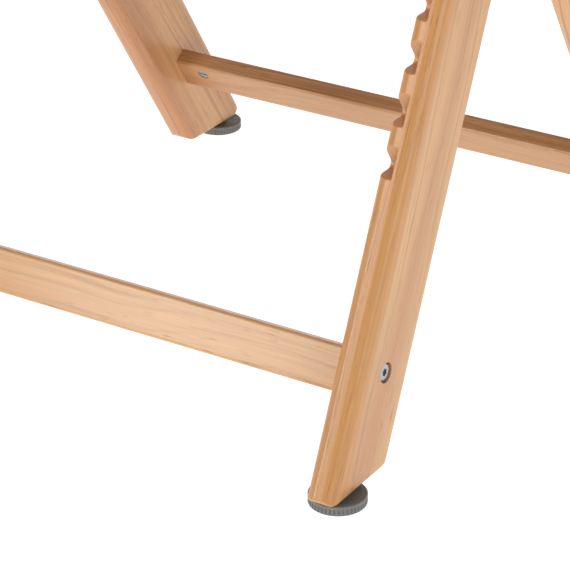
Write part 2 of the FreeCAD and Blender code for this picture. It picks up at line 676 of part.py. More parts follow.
def trimmed_leg(foot, top, foot_rounds, x_low, x_high):
    """A leg between two x values: its long edges and top are rounded, then its foot is cut off level.

    foot holds the two (y, z) corners on the floor side and top the two (y, z, radius) corners above.
    foot_rounds are the foot's radii in the side view, made by the cut, so its rim is only eased.
    The cut stands just outside the leg's edges, so that it meets them at a slight angle."""
    faces = [x_low, x_high]
    plate = side_plate([(y, z, 0) for y, z in foot] + top, x_low, x_high)
    rounded = round_edges(plate, LEG_EDGE_ROUND,
                          lambda edge: lies_at_x(edge, faces) and not lies_at_z(edge, [LEG_BOTTOM_Z]))
    limits = cut_corners(foot, foot_rounds, 0) + cut_corners([(y, z) for y, z, _ in top], (0, 0), CUT_PAST)
    trimmed = rounded.common(side_plate(limits, x_low - CUT_PAST, x_high + CUT_PAST)).Solids[0]
    return round_edges(trimmed, LEG_RIM_ROUND, is_foot_rim)


def cut_corners(pair, rounds, lift):
    """Two (y, z) corners, each moved outwards by FOOT_CUT_OUTSIDE and up by `lift`, with their radii."""
    middle_y = (pair[0][0] + pair[1][0]) / 2
    return [(y + math.copysign(FOOT_CUT_OUTSIDE, y - middle_y), z + lift, radius)
            for (y, z), radius in zip(pair, rounds)]


def is_foot_rim(edge):
    """Whether an edge goes round a leg's foot, and isn't where a foot round runs into the bottom."""
    box = edge.BoundBox
    runs_into_bottom = box.YLength < SAME_PLACE and lies_at_z(edge, [LEG_BOTTOM_Z])
    return box.ZMax < FOOT_RIM_BELOW_Z and not runs_into_bottom


def plain_main_leg():
    """The right main leg before its holes and notches."""
    toe = on_main_leg(at_height(MAIN_LEG_LEAN_DEG, LEG_BOTTOM_Z, 0), 0)
    heel = on_main_leg(at_height(MAIN_LEG_LEAN_DEG, LEG_BOTTOM_Z, MAIN_LEG_WIDTH), MAIN_LEG_WIDTH)
    top = [on_main_leg(MAIN_LEG_LENGTH, across) + (MAIN_LEG_TOP_ROUND,) for across in (MAIN_LEG_WIDTH, 0)]
    foot_rounds = [MAIN_LEG_TOE_ROUND, MAIN_LEG_HEEL_ROUND]
    return trimmed_leg([toe, heel], top, foot_rounds, INNER_FACE_X, OUTER_FACE_X)


def plain_rear_leg():
    """The right rear leg before its holes: its upper end is nearly a half circle about the crossing."""
    heel = on_rear_leg(at_height(REAR_LEG_LEAN_DEG, LEG_BOTTOM_Z, 0), 0)
    toe = on_rear_leg(at_height(REAR_LEG_LEAN_DEG, LEG_BOTTOM_Z, REAR_LEG_WIDTH), REAR_LEG_WIDTH)
    _, crossing_z = legs_crossing()
    half = REAR_LEG_WIDTH / 2
    end_along = at_height(REAR_LEG_LEAN_DEG, crossing_z, half) + half
    top_round = half - END_ROUND_SHORTFALL
    top = [on_rear_leg(end_along, across) + (top_round,) for across in (0, REAR_LEG_WIDTH)]
    foot_rounds = [REAR_LEG_TOE_ROUND, REAR_LEG_HEEL_ROUND]
    return trimmed_leg([toe, heel], top, foot_rounds, OUTER_FACE_X, REAR_LEG_OUTER_X)


def notched_main_leg():
    """The right main leg with its notches, whose edges are sanded round."""
    leg = drilled(plain_main_leg(), [notch_tool(index) for index in range(NOTCH_COUNT)])
    centres = [notch_centre(index) for index in range(NOTCH_COUNT)]

    def at_notch(edge):
        box = edge.BoundBox
        middle = box.Center
        in_inner_half = middle.x < MAIN_LEG_MID_X + NOTCH_EDGE_ROUND
        near = any(math.hypot(middle.y - y, middle.z - z) < NOTCH_EDGE_REACH for y, z in centres)
        return in_inner_half and near and box.DiagonalLength < 2 * NOTCH_EDGE_REACH

    return round_edges(leg, NOTCH_EDGE_ROUND, at_notch)


def right_main_leg():
    """The right main leg with every notch and hole."""
    tools = front_rail_fasteners()["leg_tools"]
    for up_leg in (LOWER_SLAT_UP_LEG, UPPER_SLAT_UP_LEG):
        tools += slat_fasteners(up_leg)["leg_tools"]
    for y, z in leg_joint_points():
        tools += leg_joint_tools(y, z)
    tools += [at_foot(tool, 1, FRONT_FOOT_Y) for tool in foot_leg_tools()]
    tools += guard_leg_tools()
    return drilled(notched_main_leg(), tools)


def right_rear_leg():
    """The right rear leg with every hole."""
    tools = rear_rail_fasteners()["leg_tools"]
    for y, z in leg_joint_points():
        tools += leg_joint_tools(y, z)
    tools += [at_foot(tool, 1, REAR_FOOT_Y) for tool in foot_leg_tools()]
    return drilled(plain_rear_leg(), tools)


# ---------------------------------------------------------------- guard

def guard_pivot():
    """The side-view point that the guard swings about."""
    return on_main_leg(GUARD_PIVOT_UP_LEG, MAIN_LEG_WIDTH / 2)


def stop_peg_point():
    """The side-view centre of the peg that the guard's arm rests on."""
    y, z = guard_pivot()
    return y - STOP_PEG_FORWARD, z - GUARD_HEIGHT / 2 - STOP_PEG_GAP - STOP_PEG_RADIUS


def guard_cap_x():
    """Where the guard bolt's shank ends and its cap begins."""
    return OUTER_FACE_X + GUARD_SIDE_GAP + GUARD_THICKNESS + GUARD_CAP_GAP


def guard_rail():
    """The bent guard: two arms and a front bar in one piece, with a pivot bore in each arm."""
    y, z = guard_pivot()
    inner_x = OUTER_FACE_X + GUARD_SIDE_GAP
    outer_x = inner_x + GUARD_THICKNESS
    past_x = outer_x + CUT_PAST
    back_y = y + GUARD_HEIGHT
    front_y = y - GUARD_REACH
    low_z = z - GUARD_HEIGHT / 2
    high_z = low_z + GUARD_HEIGHT
    outer = top_plate(guard_outline(outer_x, back_y, front_y, GUARD_BEND_RADIUS + GUARD_THICKNESS),
                      low_z, high_z)
    inner = top_plate(guard_outline(inner_x, back_y + CUT_PAST, front_y + GUARD_THICKNESS, GUARD_BEND_RADIUS),
                      low_z - CUT_PAST, high_z + CUT_PAST)
    end_y = y + GUARD_HEIGHT / 2
    end_round = GUARD_HEIGHT / 2 - GUARD_END_SHORTFALL
    end_corners = [(front_y - CUT_PAST, low_z, 0), (end_y, low_z, end_round),
                   (end_y, high_z, end_round), (front_y - CUT_PAST, high_z, 0)]
    solid = outer.cut(inner).common(side_plate(end_corners, -past_x, past_x))
    longest_across = GUARD_THICKNESS + CUT_PAST
    solid = round_edges(solid, GUARD_ROUND, lambda edge: lies_at_z(edge, [low_z, high_z])
                        and edge.BoundBox.DiagonalLength > longest_across)
    bore = cylinder(GUARD_BOLT_RADIUS + RUNNING_CLEARANCE, Vector(-past_x, y, z), Vector(past_x, y, z))
    return drilled(solid, [bore])


def guard_outline(half_width, back_y, front_y, bend_radius):
    """The top-view corners of a U that is open at the back."""
    return [(-half_width, back_y, 0), (-half_width, front_y, bend_radius),
            (half_width, front_y, bend_radius), (half_width, back_y, 0)]


def guard_bolt():
    """The right-hand pivot bolt: a domed cap, a smooth shank and a tip inside the leg's sleeve nut."""
    y, z = guard_pivot()
    cap_x = guard_cap_x()
    top_x = cap_x + GUARD_CAP_HEIGHT
    tip_x = INNER_FACE_X + LEG_BOLT_END_GAP
    cap = cylinder(GUARD_CAP_RADIUS, Vector(cap_x, y, z), Vector(top_x, y, z))
    cap = round_edges(cap, GUARD_CAP_DOME, lambda edge: lies_at_x(edge, [top_x]))
    shank = cylinder(GUARD_BOLT_RADIUS, Vector(OUTER_FACE_X, y, z), Vector(cap_x, y, z))
    tip = cylinder(LEG_BOLT_RADIUS, Vector(tip_x, y, z), Vector(OUTER_FACE_X, y, z))
    socket = hex_socket(RAIL_BOLT_SOCKET_RADIUS, Vector(top_x, y, z), GUARD_SOCKET_DEPTH, Vector(-1, 0, 0))
    return drilled(cap.fuse([shank, tip]), [socket])


def guard_nut():
    """The right-hand sleeve nut that the pivot bolt screws into."""
    y, z = guard_pivot()
    return sleeve_nut(INNER_FACE_X, y, z, LEG_BOLT_RADIUS)


def guard_washer():
    """The right-hand washer that keeps the arm off the leg."""
    y, z = guard_pivot()
    far_x = OUTER_FACE_X + GUARD_SIDE_GAP - GUARD_WASHER_PLAY
    disc = cylinder(GUARD_WASHER_RADIUS, Vector(OUTER_FACE_X, y, z), Vector(far_x, y, z))
    hole = cylinder(GUARD_BOLT_RADIUS, Vector(OUTER_FACE_X - CUT_PAST, y, z), Vector(far_x + CUT_PAST, y, z))
    return drilled(disc, [hole])


def stop_peg():
    """The right-hand peg under the guard's arm."""
    y, z = stop_peg_point()
    start = Vector(OUTER_FACE_X - STOP_PEG_IN_LEG, y, z)
    end = Vector(OUTER_FACE_X + GUARD_SIDE_GAP + GUARD_THICKNESS, y, z)
    peg = cylinder(STOP_PEG_RADIUS, start, end)
    return round_edges(peg, STOP_PEG_END_ROUND, lambda edge: lies_at_x(edge, [end.x]))


def guard_leg_tools():
    """The guard's holes in the right main leg."""
    y, z = guard_pivot()
    peg_y, peg_z = stop_peg_point()
    peg = cylinder(STOP_PEG_RADIUS, Vector(OUTER_FACE_X - STOP_PEG_IN_LEG, peg_y, peg_z),
                   Vector(OUTER_FACE_X + CUT_PAST, peg_y, peg_z))
    return sleeve_nut_tools(INNER_FACE_X, y, z) + [peg]


# ---------------------------------------------------------------- seat and footrest

def rear_rod_point(notch):
    """The side-view centre of the rod that bears on the main legs' rear edges."""
    _, front_z = notch_centre(notch)
    across = MAIN_LEG_WIDTH + ROD_BEARING_GAP + ROD_RADIUS
    along = at_height(MAIN_LEG_LEAN_DEG, front_z + REAR_ROD_RISE, across)
    return on_main_leg(along, across)


def rod(y, z, half_length):
    """A round rod across the chair with rounded ends."""
    bar = cylinder(ROD_RADIUS, Vector(-half_length, y, z), Vector(half_length, y, z))
    ends = [-half_length, half_length]
    return round_edges(bar, ROD_END_ROUND, lambda edge: lies_at_x(edge, ends))


def board_top_z(notch):
    """The height of the top of the board that hangs in a notch."""
    return notch_centre(notch)[1] + BOARD_UNDER_RISE + BOARD_THICKNESS


def plain_board(notch, reach):
    """A board with large front corners, before its slots."""
    y, z = notch_centre(notch)
    half_width = INNER_FACE_X - BOARD_SIDE_GAP
    low_z = z + BOARD_UNDER_RISE
    high_z = low_z + BOARD_THICKNESS
    corners = [(-half_width, y - reach, BOARD_CORNER_ROUND), (half_width, y - reach, BOARD_CORNER_ROUND),
               (half_width, y + BOARD_BACK_REACH, BOARD_BACK_CORNER_ROUND),
               (-half_width, y + BOARD_BACK_REACH, BOARD_BACK_CORNER_ROUND)]
    board = top_plate(corners, low_z, high_z)
    return round_edges(board, BOARD_EDGE_ROUND, lambda edge: lies_at_z(edge, [low_z, high_z]))


def batten(notch, reach):
    """The right-hand batten under a board: it holds both rods and rises behind the board."""
    y, z = notch_centre(notch)
    rear_y, rear_z = rear_rod_point(notch)
    outer_x = INNER_FACE_X - BATTEN_SIDE_GAP
    inner_x = outer_x - BATTEN_THICKNESS
    under_z = z + BOARD_UNDER_RISE
    front_y = y - reach + BATTEN_FRONT_MARGIN
    back_y = rear_y + BATTEN_BEHIND_ROD
    top_z = rear_z + BATTEN_BEHIND_ROD
    step_y = y + BOARD_BACK_REACH + BATTEN_STEP_GAP
    corners = [(front_y, under_z, 0), (front_y, under_z - BATTEN_NOSE_HEIGHT, BATTEN_CORNER_ROUND),
               (y - BATTEN_DROP, z - BATTEN_DROP, BATTEN_CORNER_ROUND),
               (y + BATTEN_DROP, z - BATTEN_DROP, BATTEN_CORNER_ROUND),
               (back_y, rear_z - BATTEN_BEHIND_ROD, BATTEN_END_ROUND), (back_y, top_z, BATTEN_END_ROUND),
               (step_y, top_z, BATTEN_STEP_ROUND), (step_y, under_z, 0)]
    plate = side_plate(corners, inner_x, outer_x)
    faces = [inner_x, outer_x]
    below_top = under_z - SAME_PLACE
    return round_edges(plate, BATTEN_EDGE_ROUND,
                       lambda edge: lies_at_x(edge, faces) and edge.BoundBox.ZMax < below_top)


def screw_spots(notch, reach):
    """The (y, z of the batten's underside) of each screw under the right-hand batten."""
    y, z = notch_centre(notch)
    under_z = z + BOARD_UNDER_RISE
    front_y = y - FRONT_SCREW_SHARE * reach
    nose_z = under_z - BATTEN_NOSE_HEIGHT
    nose_y = y - reach + BATTEN_FRONT_MARGIN
    slope = (z - BATTEN_DROP - nose_z) / (y - BATTEN_DROP - nose_y)
    back_slope_start = y + BATTEN_DROP
    rear_y, rear_z = rear_rod_point(notch)
    rise = (rear_z - BATTEN_BEHIND_ROD - (z - BATTEN_DROP)) / (rear_y + BATTEN_BEHIND_ROD - back_slope_start)
    back_y = y + REAR_SCREW_BEHIND_ROD
    return [(front_y, nose_z + slope * (front_y - nose_y)),
            (back_y, z - BATTEN_DROP + rise * (back_y - back_slope_start))]


def board_screw(y, low_z, under_z):
    """One countersunk screw, driven up through the batten into the board."""
    x = INNER_FACE_X - BATTEN_SIDE_GAP - BATTEN_THICKNESS / 2
    head_z = low_z + SCREW_HEAD_SINK
    head = Part.makeCone(SCREW_HEAD_RADIUS, SCREW_RADIUS, SCREW_HEAD_HEIGHT, Vector(x, y, head_z))
    shank = cylinder(SCREW_RADIUS, Vector(x, y, head_z), Vector(x, y, under_z + SCREW_IN_BOARD))
    mouth = cylinder(SCREW_HEAD_RADIUS, Vector(x, y, low_z - SCREW_MOUTH_REACH), Vector(x, y, head_z))
    return head.fuse(shank), mouth


def screws_and_tools(notch, reach):
    """The right-hand screws of a board, and the tools for their holes."""
    under_z = notch_centre(notch)[1] + BOARD_UNDER_RISE
    screws = []
    tools = []
    for y, low_z in screw_spots(notch, reach):
        screw, mouth = board_screw(y, low_z, under_z)
        screws.append(screw)
        tools += [screw, mouth]
    return screws, tools


def hooked_board(prefix, notch, reach, slot_tools):
    """Every piece of a board that hooks into the main legs: board, battens, rods and screws."""
    y, z = notch_centre(notch)
    rear_y, rear_z = rear_rod_point(notch)
    screws, screw_tools = screws_and_tools(notch, reach)
    front_rod = rod(y, z, MAIN_LEG_MID_X - NOTCH_END_GAP)
    rear_rod = rod(rear_y, rear_z, OUTER_FACE_X - REAR_ROD_END_GAP)
    right_batten = drilled(batten(notch, reach), [front_rod, rear_rod] + screw_tools)
    all_screws = screws + [mirrored(screw) for screw in screws]
    board = drilled(plain_board(notch, reach), slot_tools + all_screws)
    return {
        prefix + "_board": board,
        prefix + "_right_batten": right_batten,
        prefix + "_left_batten": mirrored(right_batten),
        prefix + "_front_rod": front_rod,
        prefix + "_rear_rod": rear_rod,
        prefix + "_screws": joined(all_screws),
    }


# ---------------------------------------------------------------- harness

def strap(start, direction, length, below):
    """A webbing strap that rises through a slot at `start`, bends over and lies along the seat.

    It is drawn along +y from the origin, then turned to its direction."""
    half = WEBBING_WIDTH / 2
    inner, outer = STRAP_BEND, STRAP_BEND + WEBBING_THICKNESS
    profile = [(0, -below, 0), (WEBBING_THICKNESS, -below, 0), (WEBBING_THICKNESS, 0, inner),
               (length, 0, 0), (length, WEBBING_THICKNESS, 0), (0, WEBBING_THICKNESS, outer)]
    wire = rounded_wire(profile, lambda run, rise: Vector(-half, run, rise))
    band = Part.Face(wire).extrude(Vector(WEBBING_WIDTH, 0, 0))
    turn = math.degrees(math.atan2(direction.y, direction.x)) - 90
    band.rotate(Vector(0, 0, 0), Vector(0, 0, 1), turn)
    band.translate(start)
    return band


def strap_slot(start, direction, below):
    """The tool for the slot that a strap passes through."""
    half = WEBBING_WIDTH / 2 + STRAP_SLOT_GAP
    depth = WEBBING_THICKNESS + STRAP_BEND
    tool = Part.makeBox(2 * half, depth + STRAP_SLOT_GAP, 2 * below, Vector(-half, -STRAP_SLOT_GAP, -below))
    turn = math.degrees(math.atan2(direction.y, direction.x)) - 90
    tool.rotate(Vector(0, 0, 0), Vector(0, 0, 1), turn)
    tool.translate(start)
    return tool


def harness_layout():
    """The start, direction and length of the crotch strap and of the right waist strap."""
    y, _ = notch_centre(SEAT_NOTCH)
    top_z = board_top_z(SEAT_NOTCH)
    buckle_y = y - BUCKLE_FORWARD
    crotch_start = Vector(0, y - CROTCH_SLOT_FORWARD, top_z)
    crotch_length = CROTCH_SLOT_FORWARD - BUCKLE_FORWARD - BUCKLE_DEPTH / 2
    waist_start = Vector(WAIST_SLOT_SIDE, y - WAIST_SLOT_FORWARD, top_z)
    waist_end = Vector(BUCKLE_WIDTH / 2 + TONGUE_LENGTH - TONGUE_BAR, buckle_y, top_z)
    waist_run = waist_end - waist_start
    return {"crotch": (crotch_start, Vector(0, 1, 0), crotch_length),
            "waist": (waist_start, Vector(waist_run.x, waist_run.y, 0).normalize(), waist_run.Length)}


def strap_drop():
    """How far a strap hangs below the seat's top, to just under the board."""
    return BOARD_THICKNESS + STRAP_BELOW_BOARD


def seat_slot_tools():
    """The three harness slots in the seat board."""
    layout = harness_layout()
    below = strap_drop() + STRAP_SLOT_REACH
    crotch = strap_slot(layout["crotch"][0], layout["crotch"][1], below)
    waist = strap_slot(layout["waist"][0], layout["waist"][1], below)
    return [crotch, waist, mirrored(waist)]


def buckle_middle():
    """The middle of the buckle's underside."""
    y, _ = notch_centre(SEAT_NOTCH)
    return Vector(0, y - BUCKLE_FORWARD, board_top_z(SEAT_NOTCH) + BUCKLE_LIFT)


def buckle_body():
    """The buckle's casing, with a round well for its button and a mouth on each side."""
    middle = buckle_middle()
    half_x, half_y = BUCKLE_WIDTH / 2, BUCKLE_DEPTH / 2
    signs = [(-1, -1), (1, -1), (1, 1), (-1, 1)]
    corners = [(a * half_x, middle.y + b * half_y, BUCKLE_CORNER_ROUND) for a, b in signs]
    top_z = middle.z + BUCKLE_HEIGHT
    casing = top_plate(corners, middle.z, top_z)
    casing = round_edges(casing, BUCKLE_EDGE_ROUND, lambda edge: lies_at_z(edge, [top_z]))
    well_start = Vector(0, middle.y, top_z - BUTTON_WELL_DEPTH)
    well_end = Vector(0, middle.y, top_z + CUT_PAST)
    well = cylinder(BUTTON_RADIUS + BUTTON_CLEARANCE, well_start, well_end)
    return drilled(casing, [well] + both_sides(tongue_blade()))


def buckle_button():
    """The button that releases the tongues: it stands just proud of the casing."""
    middle = buckle_middle()
    top = middle.z + BUCKLE_HEIGHT + BUTTON_PROUD
    low = top - BUTTON_HEIGHT
    button = cylinder(BUTTON_RADIUS, Vector(0, middle.y, low), Vector(0, middle.y, top))
    return round_edges(button, BUTTON_EDGE_ROUND, lambda edge: lies_at_z(edge, [top]))


def tongue_blade():
    """The part of the right-hand tongue inside the casing."""
    middle = buckle_middle()
    depth = BUCKLE_WIDTH / 2 - BUTTON_RADIUS - BLADE_BUTTON_GAP
    half = TONGUE_WIDTH / 2 - BLADE_INSET
    low_z = middle.z + TONGUE_LIFT + (TONGUE_THICKNESS - BLADE_THICKNESS) / 2
    return Part.makeBox(depth, 2 * half, BLADE_THICKNESS,
                        Vector(BUCKLE_WIDTH / 2 - depth, middle.y - half, low_z))


def buckle_tongue():
    """The right-hand tongue: a blade in the casing, and a frame with a bar that holds the strap."""
    middle = buckle_middle()
    start_x = BUCKLE_WIDTH / 2
    half = TONGUE_WIDTH / 2
    narrow = half - TONGUE_TAPER
    end_x = start_x + TONGUE_LENGTH
    low_z = middle.z + TONGUE_LIFT
    corners = [(start_x, middle.y - narrow, 0), (end_x, middle.y - half, TONGUE_CORNER_ROUND),
               (end_x, middle.y + half, TONGUE_CORNER_ROUND), (start_x, middle.y + narrow, 0)]
    frame = top_plate(corners, low_z, low_z + TONGUE_THICKNESS)
    window_half = WEBBING_WIDTH / 2 + STRAP_SLOT_GAP
    window_corner = Vector(end_x - TONGUE_BAR - TONGUE_WINDOW, middle.y - window_half, low_z - CUT_PAST)
    window = Part.makeBox(TONGUE_WINDOW, 2 * window_half, TONGUE_THICKNESS + 2 * CUT_PAST, window_corner)
    return drilled(frame.fuse(tongue_blade()), [window])


def harness():
    """The straps, the buckle, its button and its two tongues."""
    layout = harness_layout()
    crotch = strap(*layout["crotch"], strap_drop())
    waist = strap(*layout["waist"], strap_drop())
    tongue = buckle_tongue()
    waist = drilled(waist, [tongue])
    return {"crotch_strap": crotch, "right_waist_strap": waist, "left_waist_strap": mirrored(waist),
            "buckle_body": buckle_body(), "buckle_button": buckle_button(),
            "right_buckle_tongue": tongue, "left_buckle_tongue": mirrored(tongue)}


# ---------------------------------------------------------------- the whole chair

def frame_pieces():
    """The legs, rails, backrest and every fastener of the frame."""
    front = front_rail_fasteners()
    rear = rear_rail_fasteners()
    slats = [slat_fasteners(up_leg) for up_leg in (LOWER_SLAT_UP_LEG, UPPER_SLAT_UP_LEG)]
    main_leg = right_main_leg()
    rear_leg = right_rear_leg()
    front_rail = finished_rail(on_main_leg, FRONT_RAIL_SET_BACK, FRONT_RAIL_UP_LEG, INNER_FACE_X, front)
    rear_rail = finished_rail(on_rear_leg, REAR_RAIL_SET_BACK, REAR_RAIL_UP_LEG, OUTER_FACE_X, rear)
    joint_bolts = [leg_joint_bolt(y, z) for y, z in leg_joint_points()]
    joint_nuts = [sleeve_nut(INNER_FACE_X, y, z, LEG_BOLT_RADIUS) for y, z in leg_joint_points()]
    inserts = [at_foot(foot_insert(), side, y) for side in (-1, 1) for y in (FRONT_FOOT_Y, REAR_FOOT_Y)]
    return {
        "right_main_leg": main_leg,
        "left_main_leg": mirrored(main_leg),
        "right_rear_leg": rear_leg,
        "left_rear_leg": mirrored(rear_leg),
        "front_cross_rail": front_rail,
        "rear_cross_rail": rear_rail,
        "front_rail_bolts": joined(both_sides(front["bolt"])),
        "rear_rail_bolts": joined(both_sides(rear["bolt"])),
        "rail_barrel_nuts": joined(both_sides(front["nut"]) + both_sides(rear["nut"])),
        "rail_dowels": joined(both_sides(front["dowel"]) + both_sides(rear["dowel"])),
        "leg_joint_bolts": joined([piece for bolt in joint_bolts for piece in both_sides(bolt)]),
        "leg_joint_sleeve_nuts": joined([piece for nut in joint_nuts for piece in both_sides(nut)]),
        "lower_back_slat": finished_slat(LOWER_SLAT_UP_LEG),
        "upper_back_slat": finished_slat(UPPER_SLAT_UP_LEG),
        "back_slat_bolts": joined([piece for slat in slats for piece in both_sides(slat["bolt"])]),
        "back_slat_barrel_nuts": joined([piece for slat in slats for piece in both_sides(slat["nut"])]),
        "back_slat_dowels": joined([piece for slat in slats for piece in both_sides(slat["dowel"])]),
        "foot_inserts": joined(inserts),
        "guard_pivot_bolts": joined(both_sides(guard_bolt())),
        "guard_sleeve_nuts": joined(both_sides(guard_nut())),
        "guard_washers": joined(both_sides(guard_washer())),
        "guard_stop_pegs": joined(both_sides(stop_peg())),
    }


def feet_pieces():
    """A stud and a disc under each leg."""
    pieces = {}
    for end_name, y in (("front", FRONT_FOOT_Y), ("rear", REAR_FOOT_Y)):
        for side_name, side in (("left", -1), ("right", 1)):
            name = end_name + "_" + side_name + "_foot"
            pieces[name + "_stud"] = at_foot(foot_stud(), side, y)
            pieces[name + "_disc"] = at_foot(foot_disc(), side, y)
    return pieces


def chair_pieces():
    """Every piece of the chair, by name."""
    pieces = frame_pieces()
    pieces.update(feet_pieces())
    pieces.update(hooked_board("seat", SEAT_NOTCH, SEAT_REACH, seat_slot_tools()))
    pieces.update(hooked_board("footrest", FOOTREST_NOTCH, FOOTREST_REACH, []))
    pieces["guard_rail"] = guard_rail()
    pieces.update(harness())
    return pieces


def centred(pieces):
    """The pieces, moved along y so that the middle of the chair's box is at y = 0."""
    whole = Part.makeCompound(list(pieces.values())).optimalBoundingBox(False)
    shift = -(whole.YMin + whole.YMax) / 2
    for shape in pieces.values():
        shape.translate(Vector(0, shift, 0))
    return shift


def main():
    """Makes the chair, writes one file per piece and prints the places that joints and mounts need."""
    pieces = chair_pieces()
    shift = centred(pieces)
    os.makedirs("parts", exist_ok=True)
    for name, shape in pieces.items():
        shape.exportStep("parts/" + name + ".step")
    print("pieces", len(pieces), "y shift", round(shift, 4))
    places = {"seat rod": notch_centre(SEAT_NOTCH), "footrest rod": notch_centre(FOOTREST_NOTCH),
              "guard pivot": guard_pivot(), "seat rear rod": rear_rod_point(SEAT_NOTCH),
              "leg crossing": legs_crossing()}
    for label, (y, z) in places.items():
        print(label, "y", round(y + shift, 4), "z", round(z, 4))
    for name, shape in pieces.items():
        box = shape.BoundBox
        print(name, "solids", len(shape.Solids), "valid", shape.isValid(), "volume", round(shape.Volume, 1),
              [round(v, 1) for v in (box.XMin, box.YMin, box.ZMin, box.XMax, box.YMax, box.ZMax)])


main()
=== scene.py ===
import math

import bmesh
import bpy
from mathutils import Matrix, Vector


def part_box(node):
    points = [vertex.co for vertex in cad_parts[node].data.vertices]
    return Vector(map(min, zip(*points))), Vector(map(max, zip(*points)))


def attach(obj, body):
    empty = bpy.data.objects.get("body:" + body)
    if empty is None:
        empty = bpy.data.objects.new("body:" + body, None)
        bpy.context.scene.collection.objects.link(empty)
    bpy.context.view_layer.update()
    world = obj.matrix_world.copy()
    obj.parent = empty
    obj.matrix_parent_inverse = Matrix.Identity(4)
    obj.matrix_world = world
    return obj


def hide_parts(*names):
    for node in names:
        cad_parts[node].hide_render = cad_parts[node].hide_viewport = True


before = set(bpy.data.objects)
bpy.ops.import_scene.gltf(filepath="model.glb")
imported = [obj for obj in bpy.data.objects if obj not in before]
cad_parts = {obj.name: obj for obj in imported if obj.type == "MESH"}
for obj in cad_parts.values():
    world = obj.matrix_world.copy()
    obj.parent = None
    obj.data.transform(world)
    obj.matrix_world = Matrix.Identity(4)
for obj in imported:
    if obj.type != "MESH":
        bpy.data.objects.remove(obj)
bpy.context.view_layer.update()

# A wooden baby high chair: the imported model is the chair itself. This script gives every piece its
# material, makes the harness webbing as woven bands with sewn ends, and sets floor, light and camera.
# Metres and degrees. +Z is up, +Y is the rear of the chair, +X is the side nearest to the camera.

# Camera, placed from the middle of the near front foot
CAMERA_FROM_FOOT = (0.75156, -1.26672, 0.89032)
CAMERA_TURN_DEG = 32.04
CAMERA_DOWN_DEG = 26.38
CAMERA_LENS_MM = 163.33
CAMERA_SENSOR_MM = 36.0
CAMERA_SEES_FROM = 0.05
CAMERA_SEES_TO = 60.0

# Directions
ACROSS = (1.0, 0.0, 0.0)
BACK = (0.0, 1.0, 0.0)
UP = (0.0, 0.0, 1.0)

# Legs: their lean, and where the main leg's front edge meets the floor, seen from the foot's middle
MAIN_LEG_FRONT_AT_FLOOR = -0.0318
MAIN_LEG_LEAN_DEG = 24.21
REAR_LEG_LEAN_DEG = 33.37

# Guard: the outer radius of its two bends
GUARD_BEND_RADIUS = 0.120

# Surroundings. Each lamp has a name, a place, a width and height, and a power in watts
FLOOR_SIZE = 14.0
FLOOR_GREY = 0.5
FLOOR_GLOW = 0.90
HORIZON_LIGHT = 0.46
ZENITH_LIGHT = 0.24
ZENITH_FROM = 0.8
LAMP_AIM = (0.0, 0.0, 0.35)
LAMPS = [("near_side_key", (2.4, -0.9, 1.0), (1.6, 1.4), 19.0),
         ("front_left_strip", (-1.2, -2.3, 0.88), (0.5, 1.4), 22.0),
         ("rear_fill", (-1.2, 2.2, 0.6), (1.6, 1.0), 5.0)]

# Harness webbing
WEBBING_WIDTH = 0.025
WEBBING_THICKNESS = 0.0018
WEBBING_CROWN = 1.04
SLOT_DROP = 0.018
STAND_OFF = 0.0002
FOLD_BACK = 0.034
TONGUE_BAR_THICKNESS = 0.005
TONGUE_LIFT = 0.0016
RIB_PITCH = 0.0021
WEFT_PITCH = 0.0013
LINE_STEPS = 8

# Sewn box, its distance from the fold, and its stitches
SEAM_SIZE = (0.013, 0.017)
SEAM_FROM_FOLD = 0.024
STITCH_LENGTH = 0.0022
STITCH_GAP = 0.0008
THREAD_RADIUS = 0.00028
THREAD_SEGMENTS = 6
THREAD_RINGS = 5

# Colours, all linear
WHITE = (1.0, 1.0, 1.0)
WOOD_LIGHT = (0.71, 0.410, 0.185)
WOOD_PINK = (0.59, 0.290, 0.128)
WOOD_GOLD = (0.60, 0.270, 0.075)
WOOD_DEEP = (0.33, 0.130, 0.040)
ZINC = (0.46, 0.52, 0.58)
ALUMINIUM = (0.66, 0.67, 0.68)
STUD_ZINC = (0.50, 0.52, 0.54)
BRASS = (0.66, 0.52, 0.28)
FOOT_GREY = (0.185, 0.185, 0.176)
NYLON = (0.72, 0.71, 0.67)
BUCKLE_BLACK = (0.035, 0.036, 0.040)
BUTTON_GREY = (0.30, 0.31, 0.31)
WEBBING_DARK = (0.018, 0.019, 0.022)
WEBBING_PALE = (0.075, 0.078, 0.085)
WEBBING_FUZZ = (0.13, 0.13, 0.14)
THREAD_DARK = (0.20, 0.20, 0.21)
THREAD_PALE = (0.34, 0.34, 0.35)

# Painted shade: what each channel of a piece further back, which gets less light, is multiplied by
NO_PAINTED_SHADE = (1.0, 1.0, 1.0)
REAR_RAIL_PAINTED_SHADE = (0.74, 0.68, 0.65)
REAR_LEG_PAINTED_SHADE = (0.95, 0.92, 0.90)

# Wood figure: how often each pattern repeats in a metre along, through and across the grain
TONES_PER_METRE = (1.4, 22.0, 22.0)
SWAYS_PER_METRE = (2.6, 9.0, 9.0)
FIBRES_PER_METRE = (12.0, 800.0, 800.0)
PORES_PER_METRE = (60.0, 1300.0, 1300.0)
PORE_GROUPS_PER_METRE = (6.0, 60.0, 60.0)
WANDERS_PER_METRE = (4.0, 70.0, 70.0)
RINGS_PER_METRE = 480.0
RING_BREAKS_PER_METRE = 2.0
DARK_LINES_PER_METRE = 240.0
DARK_LINE_BREAKS_PER_METRE = 4.0
DARK_LINE_SHEET = 5.0
RING_SWAY = 0.034
RING_DEPTH = 0.36
DARK_LINE_DEPTH = 0.45
GOLD_DEPTH = 0.8
GOLD_BAND_WIDTH = 0.011
GOLD_WANDER = 0.006

